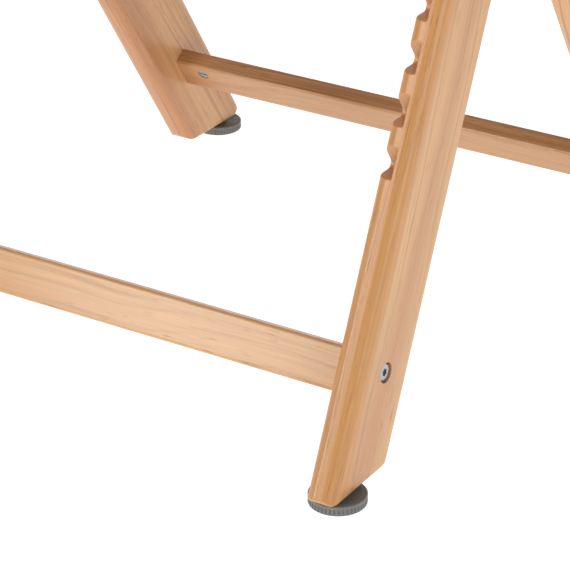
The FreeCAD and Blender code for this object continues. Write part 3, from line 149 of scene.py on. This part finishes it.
# Wood finish
WOOD_ROUGHNESS = (0.38, 0.50)
WOOD_SPECULAR = 0.42
LACQUER_WEIGHT = 0.35
LACQUER_ROUGHNESS = 0.16
WOOD_RELIEF = 0.00012
FIBRE_RELIEF = 0.3

# Metal and plastic: size of their marks, how much they vary, and the depth of their relief
STAINS_PER_METRE = 130.0
STAIN_SHADE = 0.78
METAL_RELIEF = 0.00003
PLASTIC_GRAIN = 0.0007
PLASTIC_PATCHES_PER_METRE = 90.0
PLASTIC_SPECK = 0.05
PLASTIC_RELIEF = 0.00005
WEAVE_RELIEF = 0.00035

# The middle part of a noise's range, where most of its values lie
NOISE_MIDDLE = (0.3, 0.7)
NOISE_WIDE = (0.2, 0.8)

# A colour-mixing node's sockets, which come after those for numbers and vectors
MIX_SHARE = 0
MIX_FIRST = 6
MIX_SECOND = 7
MIX_COLOUR = 2


# ---------------------------------------------------------------- materials

class Graph:
    """A material's nodes, with short ways to add, feed and join them."""

    def __init__(self, name):
        self.material = bpy.data.materials.new(name)
        self.material.use_nodes = True
        self.tree = self.material.node_tree
        self.tree.nodes.clear()
        self.shader = self.add("ShaderNodeBsdfPrincipled")
        output = self.add("ShaderNodeOutputMaterial")
        self.feed(output.inputs["Surface"], self.shader.outputs["BSDF"])

    def add(self, kind, **settings):
        node = self.tree.nodes.new(kind)
        for key, value in settings.items():
            setattr(node, key, value)
        return node

    def feed(self, socket, value):
        """Links a socket to another's output, or sets its value."""
        if isinstance(value, bpy.types.NodeSocket):
            self.tree.links.new(value, socket)
        else:
            socket.default_value = value

    def set(self, name, value):
        """Feeds one input of the shader."""
        self.feed(self.shader.inputs[name], value)

    def place(self):
        """A point of the piece, in the chair's own axes."""
        return self.add("ShaderNodeTexCoord").outputs["Object"]

    def math(self, operation, first, second=0.0):
        """One step of arithmetic."""
        node = self.add("ShaderNodeMath", operation=operation)
        self.feed(node.inputs[0], first)
        self.feed(node.inputs[1], second)
        return node.outputs[0]

    def plus(self, first, second):
        return self.math("ADD", first, second)

    def minus(self, first, second):
        return self.math("SUBTRACT", first, second)

    def times(self, first, second):
        return self.math("MULTIPLY", first, second)

    def at_least_zero(self, value):
        return self.math("MAXIMUM", value, 0.0)

    def distance(self, first, second):
        """How far a point lies that is so far off along two level directions."""
        return self.math("SQRT", self.plus(self.times(first, first), self.times(second, second)))

    def vector_math(self, operation, vector, numbers):
        """One step of arithmetic on a vector."""
        node = self.add("ShaderNodeVectorMath", operation=operation)
        self.feed(node.inputs[0], vector)
        self.feed(node.inputs[1], numbers)
        return node.outputs[0]

    def scaled(self, vector, scale):
        return self.vector_math("MULTIPLY", vector, scale)

    def moved(self, vector, shift):
        return self.vector_math("ADD", vector, shift)

    def split(self, vector):
        """The x, y and z of a vector."""
        node = self.add("ShaderNodeSeparateXYZ")
        self.feed(node.inputs[0], vector)
        return node.outputs

    def combined(self, x, y, z):
        """A vector from its x, y and z."""
        node = self.add("ShaderNodeCombineXYZ")
        for socket, value in zip(node.inputs, (x, y, z)):
            self.feed(socket, value)
        return node.outputs[0]

    def noise(self, vector, detail=2.0, roughness=0.5):
        """Noise with cells of about one unit, from 0 to 1."""
        node = self.add("ShaderNodeTexNoise")
        self.feed(node.inputs["Vector"], vector)
        self.feed(node.inputs["Scale"], 1.0)
        self.feed(node.inputs["Detail"], detail)
        self.feed(node.inputs["Roughness"], roughness)
        return node.outputs["Fac"]

    def between(self, value, low, high, out_low=0.0, out_high=1.0):
        """A value carried smoothly from one range to another, and held at its ends."""
        node = self.add("ShaderNodeMapRange", interpolation_type="SMOOTHSTEP")
        for socket, number in zip(node.inputs, (value, low, high, out_low, out_high)):
            self.feed(socket, number)
        return node.outputs[0]

    def mix(self, share, first, second, blend="MIX"):
        """Two colours mixed."""
        node = self.add("ShaderNodeMix", data_type="RGBA", blend_type=blend)
        self.feed(node.inputs[MIX_SHARE], share)
        self.feed(node.inputs[MIX_FIRST], opaque(first))
        self.feed(node.inputs[MIX_SECOND], opaque(second))
        return node.outputs[MIX_COLOUR]

    def darkened(self, colour, shade):
        """A colour times another, or times one number for all its channels."""
        if isinstance(shade, bpy.types.NodeSocket):
            shade = self.combined(shade, shade, shade)
        return self.mix(1.0, colour, shade, blend="MULTIPLY")

    def bump(self, height, distance, strength):
        """Surface relief from a height that runs from 0 to 1."""
        node = self.add("ShaderNodeBump")
        self.feed(node.inputs["Strength"], strength)
        self.feed(node.inputs["Distance"], distance)
        self.feed(node.inputs["Height"], height)
        self.set("Normal", node.outputs[0])


def opaque(colour):
    """A colour with its alpha, unless it is already a socket."""
    return colour if isinstance(colour, bpy.types.NodeSocket) else (*colour[:3], 1.0)


def grain_turn(grain, thickness):
    """The rotation that lays the grain along x and the board's thickness along y."""
    along = Vector(grain).normalized()
    through = Vector(thickness).normalized()
    return Matrix((along, through, along.cross(through))).to_euler("XYZ")


def grain_place(graph, turn, shift):
    """A point of the piece in its own wood's axes: x along the grain, y through it, z across it."""
    node = graph.add("ShaderNodeMapping", vector_type="POINT")
    graph.feed(node.inputs["Vector"], graph.place())
    graph.feed(node.inputs["Rotation"], turn)
    graph.feed(node.inputs["Location"], shift)
    return node.outputs[0]


def wood_tone(graph, place, golden):
    """Slow drifts between the light and the pinkish wood, and the golden wood over them."""
    drift = graph.noise(graph.scaled(place, TONES_PER_METRE), detail=1.0)
    base = graph.mix(graph.between(drift, 0.38, 0.60), WOOD_PINK, WOOD_LIGHT)
    return graph.mix(graph.times(golden, GOLD_DEPTH), base, WOOD_GOLD)


def growth_rings(graph, place, pith, tone):
    """Fine rings and sparser dark lines about the pith, swaying along the grain."""
    x, y, z = graph.split(graph.moved(place, (0.0, -pith[0], -pith[1])))
    sway = graph.noise(graph.scaled(place, SWAYS_PER_METRE))
    swayed = graph.plus(graph.distance(y, z), graph.times(sway, RING_SWAY))

    ring_x = graph.times(x, RING_BREAKS_PER_METRE)
    ring_place = graph.combined(ring_x, graph.times(swayed, RINGS_PER_METRE), 0.0)
    rings = graph.noise(ring_place, detail=3.0, roughness=0.6)
    ringed = graph.mix(graph.between(rings, 0.50, 0.70, 0.0, RING_DEPTH), tone, WOOD_DEEP)

    line_x = graph.times(x, DARK_LINE_BREAKS_PER_METRE)
    line_place = graph.combined(line_x, graph.times(swayed, DARK_LINES_PER_METRE), DARK_LINE_SHEET)
    lines = graph.noise(line_place, detail=1.0)
    return graph.mix(graph.between(lines, 0.62, 0.74, 0.0, DARK_LINE_DEPTH), ringed, WOOD_DEEP)


def pore_marks(graph, place):
    """Short dark pores, which gather in groups: 0 where there are none."""
    pores = graph.noise(graph.scaled(place, PORES_PER_METRE), detail=1.0)
    groups = graph.noise(graph.scaled(place, PORE_GROUPS_PER_METRE), detail=1.0)
    return graph.times(graph.between(pores, 0.64, 0.73), graph.between(groups, 0.40, 0.62, 0.15, 0.75))


def finish_wood(graph, place, pith, golden=0.0, painted_shade=NO_PAINTED_SHADE):
    """Colours and relief of satin-lacquered light hardwood, from a place in the wood's own axes.

    golden is how far the colour goes over to the golden outer wood, from 0 to 1. The last argument
    multiplies the colour, which paints in shade on pieces further back."""
    ringed = growth_rings(graph, place, pith, wood_tone(graph, place, golden))
    fibre = graph.noise(graph.scaled(place, FIBRES_PER_METRE), detail=3.0, roughness=0.65)
    fibred = graph.darkened(ringed, graph.between(fibre, *NOISE_MIDDLE, 0.90, 1.07))
    marks = pore_marks(graph, place)
    marked = graph.mix(marks, fibred, WOOD_DEEP)
    # Painted shade: the colour is multiplied down on pieces further back, which stand in less light.
    graph.set("Base Color", graph.darkened(marked, painted_shade))
    graph.set("Roughness", graph.between(fibre, *NOISE_WIDE, *WOOD_ROUGHNESS))
    graph.set("Specular IOR Level", WOOD_SPECULAR)
    graph.set("Coat Weight", LACQUER_WEIGHT)
    graph.set("Coat Roughness", LACQUER_ROUGHNESS)
    graph.bump(graph.minus(graph.times(fibre, FIBRE_RELIEF), marks), WOOD_RELIEF, strength=0.5)
    return graph.material


def wood(name, grain, thickness, shift, pith, gold_edge=None, painted_shade=NO_PAINTED_SHADE):
    """Straight-grained wood, cut from its own place in the tree.

    gold_edge is where a golden band runs along the piece, measured across the grain."""
    graph = Graph(name)
    place = grain_place(graph, grain_turn(grain, thickness), shift)
    golden = 0.0
    if gold_edge is not None:
        across = graph.minus(graph.split(place)[2], shift[2] + gold_edge)
        wander = graph.noise(graph.scaled(place, WANDERS_PER_METRE), detail=1.0)
        limit = graph.plus(across, graph.between(wander, *NOISE_MIDDLE, -GOLD_WANDER, GOLD_WANDER))
        golden = graph.between(limit, GOLD_BAND_WIDTH, 2 * GOLD_BAND_WIDTH, 1.0, 0.0)
    return finish_wood(graph, place, pith, golden, painted_shade)


def bent_wood(node, bend_radius, shift, pith):
    """Wood whose grain follows a rail's two arms, its two bends and its front bar."""
    low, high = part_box(node)
    bend_x = high.x - bend_radius
    bend_y = low.y + bend_radius
    graph = Graph(node)
    x, y, z = graph.split(graph.place())
    side = graph.math("ABSOLUTE", x)
    out_x = graph.at_least_zero(graph.minus(side, bend_x))
    out_y = graph.at_least_zero(graph.minus(bend_y, y))
    outwards = graph.distance(out_x, out_y)
    quarter = graph.minus(math.pi / 2, graph.math("ARCTAN2", out_y, out_x))
    along_bar = graph.math("MINIMUM", side, bend_x)
    along_bend = graph.times(quarter, bend_radius)
    along_arm = graph.at_least_zero(graph.minus(y, bend_y))
    length = graph.plus(graph.plus(along_bar, along_bend), along_arm)
    along = graph.times(length, graph.math("SIGN", x))
    return finish_wood(graph, graph.moved(graph.combined(along, outwards, z), shift), pith)


def plastic(name, colour, roughness):
    """Moulded plastic with a fine sparked texture and a little uneven tone."""
    graph = Graph(name)
    place = graph.place()
    fine = graph.noise(graph.scaled(place, (1 / PLASTIC_GRAIN,) * 3))
    broad = graph.noise(graph.scaled(place, (PLASTIC_PATCHES_PER_METRE,) * 3))
    tone = graph.plus(graph.between(fine, *NOISE_MIDDLE, 1 - PLASTIC_SPECK, 1 + PLASTIC_SPECK),
                      graph.between(broad, *NOISE_MIDDLE, -PLASTIC_SPECK, PLASTIC_SPECK))
    graph.set("Base Color", graph.darkened(colour, tone))
    graph.set("Roughness", graph.between(broad, *NOISE_MIDDLE, roughness - 0.05, roughness + 0.06))
    graph.bump(fine, PLASTIC_RELIEF, strength=0.6)
    return graph.material


def metal(name, colour, roughness, scratches):
    """Plated or brushed metal: scratches is how often its marks repeat in a metre, along x, y and z."""
    graph = Graph(name)
    place = graph.place()
    brushed = graph.noise(graph.scaled(place, scratches), detail=3.0, roughness=0.6)
    stain = graph.noise(graph.scaled(place, (STAINS_PER_METRE,) * 3))
    stained = tuple(channel * STAIN_SHADE for channel in colour)
    graph.set("Base Color", graph.mix(graph.between(stain, 0.35, 0.7), colour, stained))
    graph.set("Metallic", 1.0)
    graph.set("Roughness", graph.between(brushed, 0.25, 0.75, roughness - 0.07, roughness + 0.09))
    graph.bump(brushed, METAL_RELIEF, strength=0.5)
    return graph.material


def webbing_material():
    """Woven polyester: ribs along the band, crossed by the weft, read from the band's own UV in metres."""
    graph = Graph("webbing")
    u, v, _ = graph.split(graph.add("ShaderNodeUVMap", uv_map="weave").outputs["UV"])
    ribs = graph.math("SINE", graph.times(v, 2 * math.pi / RIB_PITCH))
    rows = graph.times(u, 2 * math.pi / WEFT_PITCH)
    weft = graph.math("SINE", graph.plus(rows, graph.times(ribs, 1.2)))
    weave = graph.between(graph.times(graph.plus(ribs, weft), 0.5), -1.0, 1.0)
    fuzz = graph.noise(graph.scaled(graph.combined(u, v, 0.0), (2500.0, 2500.0, 1.0)))
    tone = graph.mix(weave, WEBBING_DARK, WEBBING_PALE)
    graph.set("Base Color", graph.mix(graph.between(fuzz, 0.4, 0.8, 0.0, 0.35), tone, WEBBING_FUZZ))
    graph.set("Roughness", graph.between(fuzz, *NOISE_WIDE, 0.78, 0.92))
    graph.set("Sheen Weight", 0.35)
    graph.set("Sheen Roughness", 0.5)
    graph.bump(weave, WEAVE_RELIEF, strength=0.8)
    return graph.material


def thread_material():
    """Sewing thread with a twist."""
    graph = Graph("thread")
    twist = graph.noise(graph.scaled(graph.place(), (2600.0, 2600.0, 900.0)), detail=1.0)
    graph.set("Base Color", graph.mix(twist, THREAD_DARK, THREAD_PALE))
    graph.set("Roughness", graph.between(twist, *NOISE_MIDDLE, 0.55, 0.7))
    return graph.material


# ---------------------------------------------------------------- materials on the CAD pieces

def dress(node, material):
    """Gives a CAD node its material."""
    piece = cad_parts[node]
    piece.data.materials.clear()
    piece.data.materials.append(material)


def middle_of(node):
    """The middle of a CAD node's box."""
    low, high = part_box(node)
    return (low + high) / 2


def lean(degrees, toward):
    """The up-direction of a leg that leans that far, toward the rear (1) or the front (-1)."""
    angle = math.radians(degrees)
    return Vector((0.0, toward * math.sin(angle), math.cos(angle)))


def square_to(direction):
    """The direction to the rear that is square to a leg's up-direction, seen from the side."""
    return Vector((0.0, direction.z, -direction.y))


def dress_legs(main_up, rear_up):
    """The four legs: the main ones have a golden band along their front edge, and the rear ones get
    painted shade.
    """
    foot_y = middle_of("front_right_foot_disc").y
    front_edge = square_to(main_up).y * (foot_y + MAIN_LEG_FRONT_AT_FLOOR)
    # The rear legs' last entry is painted shade: their colour is multiplied down, as they stand further
    # back in less light.
    legs = [("right_main_leg", main_up, 1.3, (0.02, 0.16), front_edge, NO_PAINTED_SHADE),
            ("left_main_leg", main_up, 4.7, (0.05, -0.11), front_edge, NO_PAINTED_SHADE),
            ("right_rear_leg", rear_up, 7.9, (0.06, 0.02), None, REAR_LEG_PAINTED_SHADE),
            ("left_rear_leg", rear_up, 2.2, (-0.04, 0.03), None, REAR_LEG_PAINTED_SHADE)]
    for name, direction, seed, pith, gold_edge, painted_shade in legs:
        shift = (seed, 0.3 * seed, 0.1 * seed)
        dress(name, wood(name, direction, ACROSS, shift, pith, gold_edge, painted_shade))


def dress_rails_and_slats(main_back, rear_back):
    """The two cross rails, the rear one with painted shade, and the two backrest slats."""
    # The rear rail's last entry is painted shade: its colour is multiplied down, as it stands further back
    # in less light.
    rails = [("front_cross_rail", main_back, (3.1, 0.9, 0.4), (0.05, 0.02), NO_PAINTED_SHADE),
             ("rear_cross_rail", rear_back, (6.3, 1.7, 0.8), (0.01, 0.05), REAR_RAIL_PAINTED_SHADE)]
    for name, through, shift, pith, painted_shade in rails:
        dress(name, wood(name, ACROSS, through, shift, pith, painted_shade=painted_shade))
    for name, seed in (("lower_back_slat", 5.1), ("upper_back_slat", 9.4)):
        shift = (seed, 0.2, 0.5 * seed)
        dress(name, wood(name, ACROSS, main_back, shift, (0.06, 0.01)))


def dress_boards():
    """The seat and the footrest, with the battens under them."""
    for name, seed in (("seat_board", 2.9), ("footrest_board", 8.2)):
        dress(name, wood(name, ACROSS, UP, (seed, 0.4, 0.7), (0.09, 0.05)))
    battens = ("seat_left_batten", "seat_right_batten", "footrest_left_batten", "footrest_right_batten")
    for index, name in enumerate(battens):
        shift = (1.7 * index, 0.6, 0.2)
        dress(name, wood(name, BACK, ACROSS, shift, (0.04, 0.05)))


def dress_wood():
    """Every wooden piece, each with its own grain."""
    main_up = lean(MAIN_LEG_LEAN_DEG, 1)
    rear_up = lean(REAR_LEG_LEAN_DEG, -1)
    dress_legs(main_up, rear_up)
    dress_rails_and_slats(square_to(main_up), square_to(rear_up))
    dress_boards()
    guard = bent_wood("guard_rail", GUARD_BEND_RADIUS, (4.0, 0.1, 0.3), (0.30, 0.25))
    dress("guard_rail", guard)
    for name in ("rail_dowels", "back_slat_dowels"):
        dress(name, wood(name, ACROSS, UP, (0.5, 0.1, 0.2), (0.02, 0.02)))


def dress_metal():
    """Fasteners, rods, studs and inserts."""
    zinc = metal("bright_zinc", ZINC, 0.34, (900.0, 500.0, 500.0))
    for name in ("front_rail_bolts", "rear_rail_bolts", "rail_barrel_nuts", "leg_joint_bolts",
                 "leg_joint_sleeve_nuts", "back_slat_bolts", "back_slat_barrel_nuts", "guard_pivot_bolts",
                 "guard_sleeve_nuts", "guard_stop_pegs", "seat_screws", "footrest_screws"):
        dress(name, zinc)
    rod = metal("brushed_rod", ALUMINIUM, 0.32, (14.0, 1600.0, 1600.0))
    for name in ("seat_front_rod", "seat_rear_rod", "footrest_front_rod", "footrest_rear_rod"):
        dress(name, rod)
    dress("foot_inserts", metal("insert_brass", BRASS, 0.35, (600.0, 600.0, 300.0)))


def dress_feet():
    """The four levelling feet: stud and disc."""
    stud = metal("stud_zinc", STUD_ZINC, 0.36, (500.0, 500.0, 2200.0))
    disc = plastic("foot_plastic", FOOT_GREY, 0.50)
    for end in ("front", "rear"):
        for side in ("left", "right"):
            dress(f"{end}_{side}_foot_stud", stud)
            dress(f"{end}_{side}_foot_disc", disc)


def dress_buckle_and_washers():
    """The buckle with its button and tongues, and the guard's washers."""
    dress("guard_washers", plastic("washer_nylon", NYLON, 0.45))
    casing = plastic("buckle_plastic", BUCKLE_BLACK, 0.48)
    for name in ("buckle_body", "left_buckle_tongue", "right_buckle_tongue"):
        dress(name, casing)
    dress("buckle_button", plastic("button_plastic", BUTTON_GREY, 0.42))


# ---------------------------------------------------------------- harness webbing

def smooth_line(points):
    """A smooth line through (run, rise) points: a Catmull-Rom spline."""
    padded = [points[0], *points, points[-1]]
    line = []
    for index in range(1, len(padded) - 2):
        before, start, end, after = (Vector(padded[index + offset]) for offset in (-1, 0, 1, 2))
        for step in range(LINE_STEPS):
            t = step / LINE_STEPS
            squared = 2 * before - 5 * start + 4 * end - after
            cubed = 3 * start - before - 3 * end + after
            line.append(0.5 * (2 * start + (end - before) * t + squared * t ** 2 + cubed * t ** 3))
    line.append(Vector(points[-1]))
    return line


def level_axes(direction):
    """A level direction and the one square to it, as unit vectors."""
    along = Vector((*direction, 0.0)).normalized()
    return along, Vector((-along.y, along.x, 0.0))


def piece_from(name, mesh, material):
    """A visible piece from a bmesh, which is freed."""
    data = bpy.data.meshes.new(name)
    mesh.to_mesh(data)
    mesh.free()
    data.materials.append(material)
    piece = bpy.data.objects.new(name, data)
    bpy.context.scene.collection.objects.link(piece)
    return piece


def webbing_section():
    """The band's outline as (across, lift) points: rounded edges and two low crowns on its upper side."""
    half, rim = WEBBING_WIDTH / 2, WEBBING_THICKNESS / 2
    edge = half - rim / 2
    crown = WEBBING_CROWN * rim
    return [(-half, 0.0), (-edge, rim), (-half / 2, crown), (0.0, rim), (half / 2, crown), (edge, rim),
            (half, 0.0), (edge, -rim), (0.0, -rim), (-edge, -rim)]


def band_rings(mesh, section, points, start, direction):
    """Rings of the section along the line, each with its distance along the band."""
    line = smooth_line(points)
    along, sideways = level_axes(direction)
    up = Vector(UP)
    rings = []
    run = 0.0
    for index, spot in enumerate(line):
        before, after = line[max(index - 1, 0)], line[min(index + 1, len(line) - 1)]
        tangent = (after - before).normalized()
        if index:
            run += (spot - line[index - 1]).length
        centre = start + along * spot.x + up * spot.y
        normal = along * -tangent.y + up * tangent.x
        ring = [mesh.verts.new(centre + sideways * across + normal * lift) for across, lift in section]
        rings.append((run, ring))
    return rings


def band(name, points, start, direction, material):
    """A webbing band that follows (run, rise) points from a start, along a level direction."""
    section = webbing_section()
    mesh = bmesh.new()
    weave = mesh.loops.layers.uv.new("weave")
    rings = band_rings(mesh, section, points, start, direction)
    count = len(section)
    for (run_a, ring_a), (run_b, ring_b) in zip(rings, rings[1:]):
        for index in range(count):
            other = (index + 1) % count
            face = mesh.faces.new((ring_a[index], ring_a[other], ring_b[other], ring_b[index]))
            face.smooth = True
            runs = (run_a, run_a, run_b, run_b)
            acrosses = [section[corner][0] for corner in (index, other, other, index)]
            for loop, run_value, across in zip(face.loops, runs, acrosses):
                loop[weave].uv = (run_value, across)
    for ring in (rings[0][1], rings[-1][1][::-1]):
        cap = mesh.faces.new(ring)
        for loop in cap.loops:
            loop[weave].uv = (0.0, 0.0)
    bmesh.ops.recalc_face_normals(mesh, faces=mesh.faces)
    return piece_from(name, mesh, material)


def stitch_box(name, centre, direction, size, material):
    """A sewn box with a cross, as separate short stitches that stand just proud of the webbing."""
    along, sideways = level_axes(direction)
    half_run, half_width = size[0] / 2, size[1] / 2
    signs = [(-1, -1), (1, -1), (1, 1), (-1, 1)]
    corners = [(a * half_run, b * half_width) for a, b in signs]
    seams = list(zip(corners, corners[1:] + corners[:1]))
    seams += [(corners[0], corners[2]), (corners[1], corners[3])]
    pitch = STITCH_LENGTH + STITCH_GAP
    stretch = Matrix.Diagonal((STITCH_LENGTH / 2 / THREAD_RADIUS, 1.0, 1.0, 1.0))
    mesh = bmesh.new()
    for first, last in seams:
        first, last = Vector(first), Vector(last)
        heading = (last - first).normalized()
        world_heading = along * heading.x + sideways * heading.y
        turn = Vector(ACROSS).rotation_difference(world_heading).to_matrix().to_4x4()
        for index in range(int((last - first).length / pitch)):
            middle = first + heading * ((index + 0.5) * pitch)
            place = Matrix.Translation(centre + along * middle.x + sideways * middle.y) @ turn
            bmesh.ops.create_uvsphere(mesh, u_segments=THREAD_SEGMENTS, v_segments=THREAD_RINGS,
                                      radius=THREAD_RADIUS, matrix=place @ stretch)
    for face in mesh.faces:
        face.smooth = True
    return piece_from(name, mesh, material)


def out_of_slot(lie):
    """A strap's first (run, rise) points: up through its slot and over the slot's edge."""
    return [(lie, -SLOT_DROP), (lie, -0.010), (lie, -0.004), (0.0035, STAND_OFF), (0.009, lie + STAND_OFF)]


def crotch_strap(board_top, lie, webbing):
    """The crotch strap: up through its slot and forward into the buckle."""
    crotch_low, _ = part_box("crotch_strap")
    buckle_low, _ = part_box("buckle_body")
    reach = buckle_low.y - crotch_low.y
    points = out_of_slot(lie) + [(0.5 * reach, lie + 0.0012), (reach - 0.006, 0.0042),
                                 (reach + 0.004, 0.0056)]
    strap = band("crotch_webbing", points, Vector((0.0, crotch_low.y, board_top)), (0.0, 1.0), webbing)
    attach(strap, "seat")
    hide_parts("crotch_strap")


def waist_strap(side_name, side, board_top, lie, webbing, thread):
    """One waist strap: up through its slot, along the seat, over the tongue's bar and back on itself."""
    strap_low, strap_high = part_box(f"{side_name}_waist_strap")
    tongue_low, tongue_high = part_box(f"{side_name}_buckle_tongue")
    tongue_y = (tongue_low.y + tongue_high.y) / 2
    outer_x = max(abs(strap_low.x), abs(strap_high.x))
    bar_x = max(abs(tongue_low.x), abs(tongue_high.x)) - TONGUE_BAR_THICKNESS / 2
    start = Vector((side * outer_x, strap_high.y - WEBBING_WIDTH / 2, board_top))
    bar = Vector((side * bar_x, tongue_y, board_top))
    heading = (bar.x - start.x, bar.y - start.y)
    run = math.hypot(*heading)
    over = TONGUE_LIFT + TONGUE_BAR_THICKNESS + lie
    points = out_of_slot(lie) + [
        (0.35 * run, lie + 0.0022), (run - FOLD_BACK - 0.006, lie + 0.0012),
        (run - FOLD_BACK + 0.003, 3.3 * lie), (run - 0.016, 3.4 * lie),
        (run - 0.006, 0.8 * over), (run, over + STAND_OFF),
        (run + 0.0042, 0.6 * over), (run + 0.0036, 1.4 * lie), (run - 0.004, lie), (run - FOLD_BACK, lie)]
    strap = band(f"{side_name}_waist_webbing", points, start, heading, webbing)
    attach(strap, "seat")
    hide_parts(f"{side_name}_waist_strap")
    along, _ = level_axes(heading)
    seam = start + along * (run - SEAM_FROM_FOLD) + Vector((0.0, 0.0, 4.5 * lie))
    stitches = stitch_box(f"{side_name}_waist_stitching", seam, heading, SEAM_SIZE, thread)
    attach(stitches, "seat")


def harness():
    """The crotch strap and the two waist straps, each a woven band, with the waist straps' sewn ends."""
    webbing = webbing_material()
    thread = thread_material()
    board_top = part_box("seat_board")[1].z
    lie = WEBBING_THICKNESS / 2
    crotch_strap(board_top, lie, webbing)
    for side_name, side in (("left", -1), ("right", 1)):
        waist_strap(side_name, side, board_top, lie, webbing, thread)


# ---------------------------------------------------------------- floor, light and camera

def floor():
    """A plain white floor that glows, so that only the faintest shadows lie on it."""
    bpy.ops.mesh.primitive_plane_add(size=FLOOR_SIZE, location=(0.0, 0.0, 0.0))
    plane = bpy.context.object
    plane.name = "floor"
    graph = Graph("pale_floor")
    graph.set("Base Color", opaque((FLOOR_GREY,) * 3))
    graph.set("Roughness", 0.9)
    graph.set("Specular IOR Level", 0.0)
    graph.set("Emission Color", opaque(WHITE))
    graph.set("Emission Strength", FLOOR_GLOW)
    plane.data.materials.append(graph.material)


def surroundings():
    """White surroundings that are brighter at the horizon than overhead."""
    world = bpy.data.worlds.new("studio")
    world.use_nodes = True
    nodes, links = world.node_tree.nodes, world.node_tree.links
    height = nodes.new("ShaderNodeSeparateXYZ")
    links.new(nodes.new("ShaderNodeTexCoord").outputs["Generated"], height.inputs[0])
    fade = nodes.new("ShaderNodeMapRange")
    for socket, number in zip(list(fade.inputs)[1:], (0.0, ZENITH_FROM, HORIZON_LIGHT, ZENITH_LIGHT)):
        socket.default_value = number
    links.new(height.outputs["Z"], fade.inputs[0])
    links.new(fade.outputs[0], nodes["Background"].inputs["Strength"])
    nodes["Background"].inputs["Color"].default_value = opaque(WHITE)
    bpy.context.scene.world = world


def soft_light(name, place, size, power):
    """A large soft lamp that points at the middle of the chair's lower frame."""
    data = bpy.data.lights.new(name, "AREA")
    data.shape = "RECTANGLE"
    data.size, data.size_y = size
    data.energy = power
    lamp = bpy.data.objects.new(name, data)
    lamp.location = place
    lamp.rotation_euler = (Vector(LAMP_AIM) - Vector(place)).to_track_quat("-Z", "Y").to_euler()
    bpy.context.scene.collection.objects.link(lamp)


def studio():
    """The surroundings, the lamps and plain colours."""
    surroundings()
    for name, place, size, power in LAMPS:
        soft_light(name, place, size, power)
    bpy.context.scene.view_settings.view_transform = "Standard"


def camera():
    """A long lens that looks down on the near front foot and the frame behind it."""
    data = bpy.data.cameras.new("camera")
    data.sensor_width = CAMERA_SENSOR_MM
    data.lens = CAMERA_LENS_MM
    data.clip_start, data.clip_end = CAMERA_SEES_FROM, CAMERA_SEES_TO
    eye = bpy.data.objects.new("camera", data)
    foot = middle_of("front_right_foot_disc")
    eye.location = Vector((foot.x, foot.y, 0.0)) + Vector(CAMERA_FROM_FOOT)
    eye.rotation_euler = (math.radians(90 - CAMERA_DOWN_DEG), 0.0, math.radians(CAMERA_TURN_DEG))
    bpy.context.scene.collection.objects.link(eye)
    bpy.context.scene.camera = eye


dress_wood()
dress_metal()
dress_feet()
dress_buckle_and_washers()
harness()
floor()
studio()
camera()
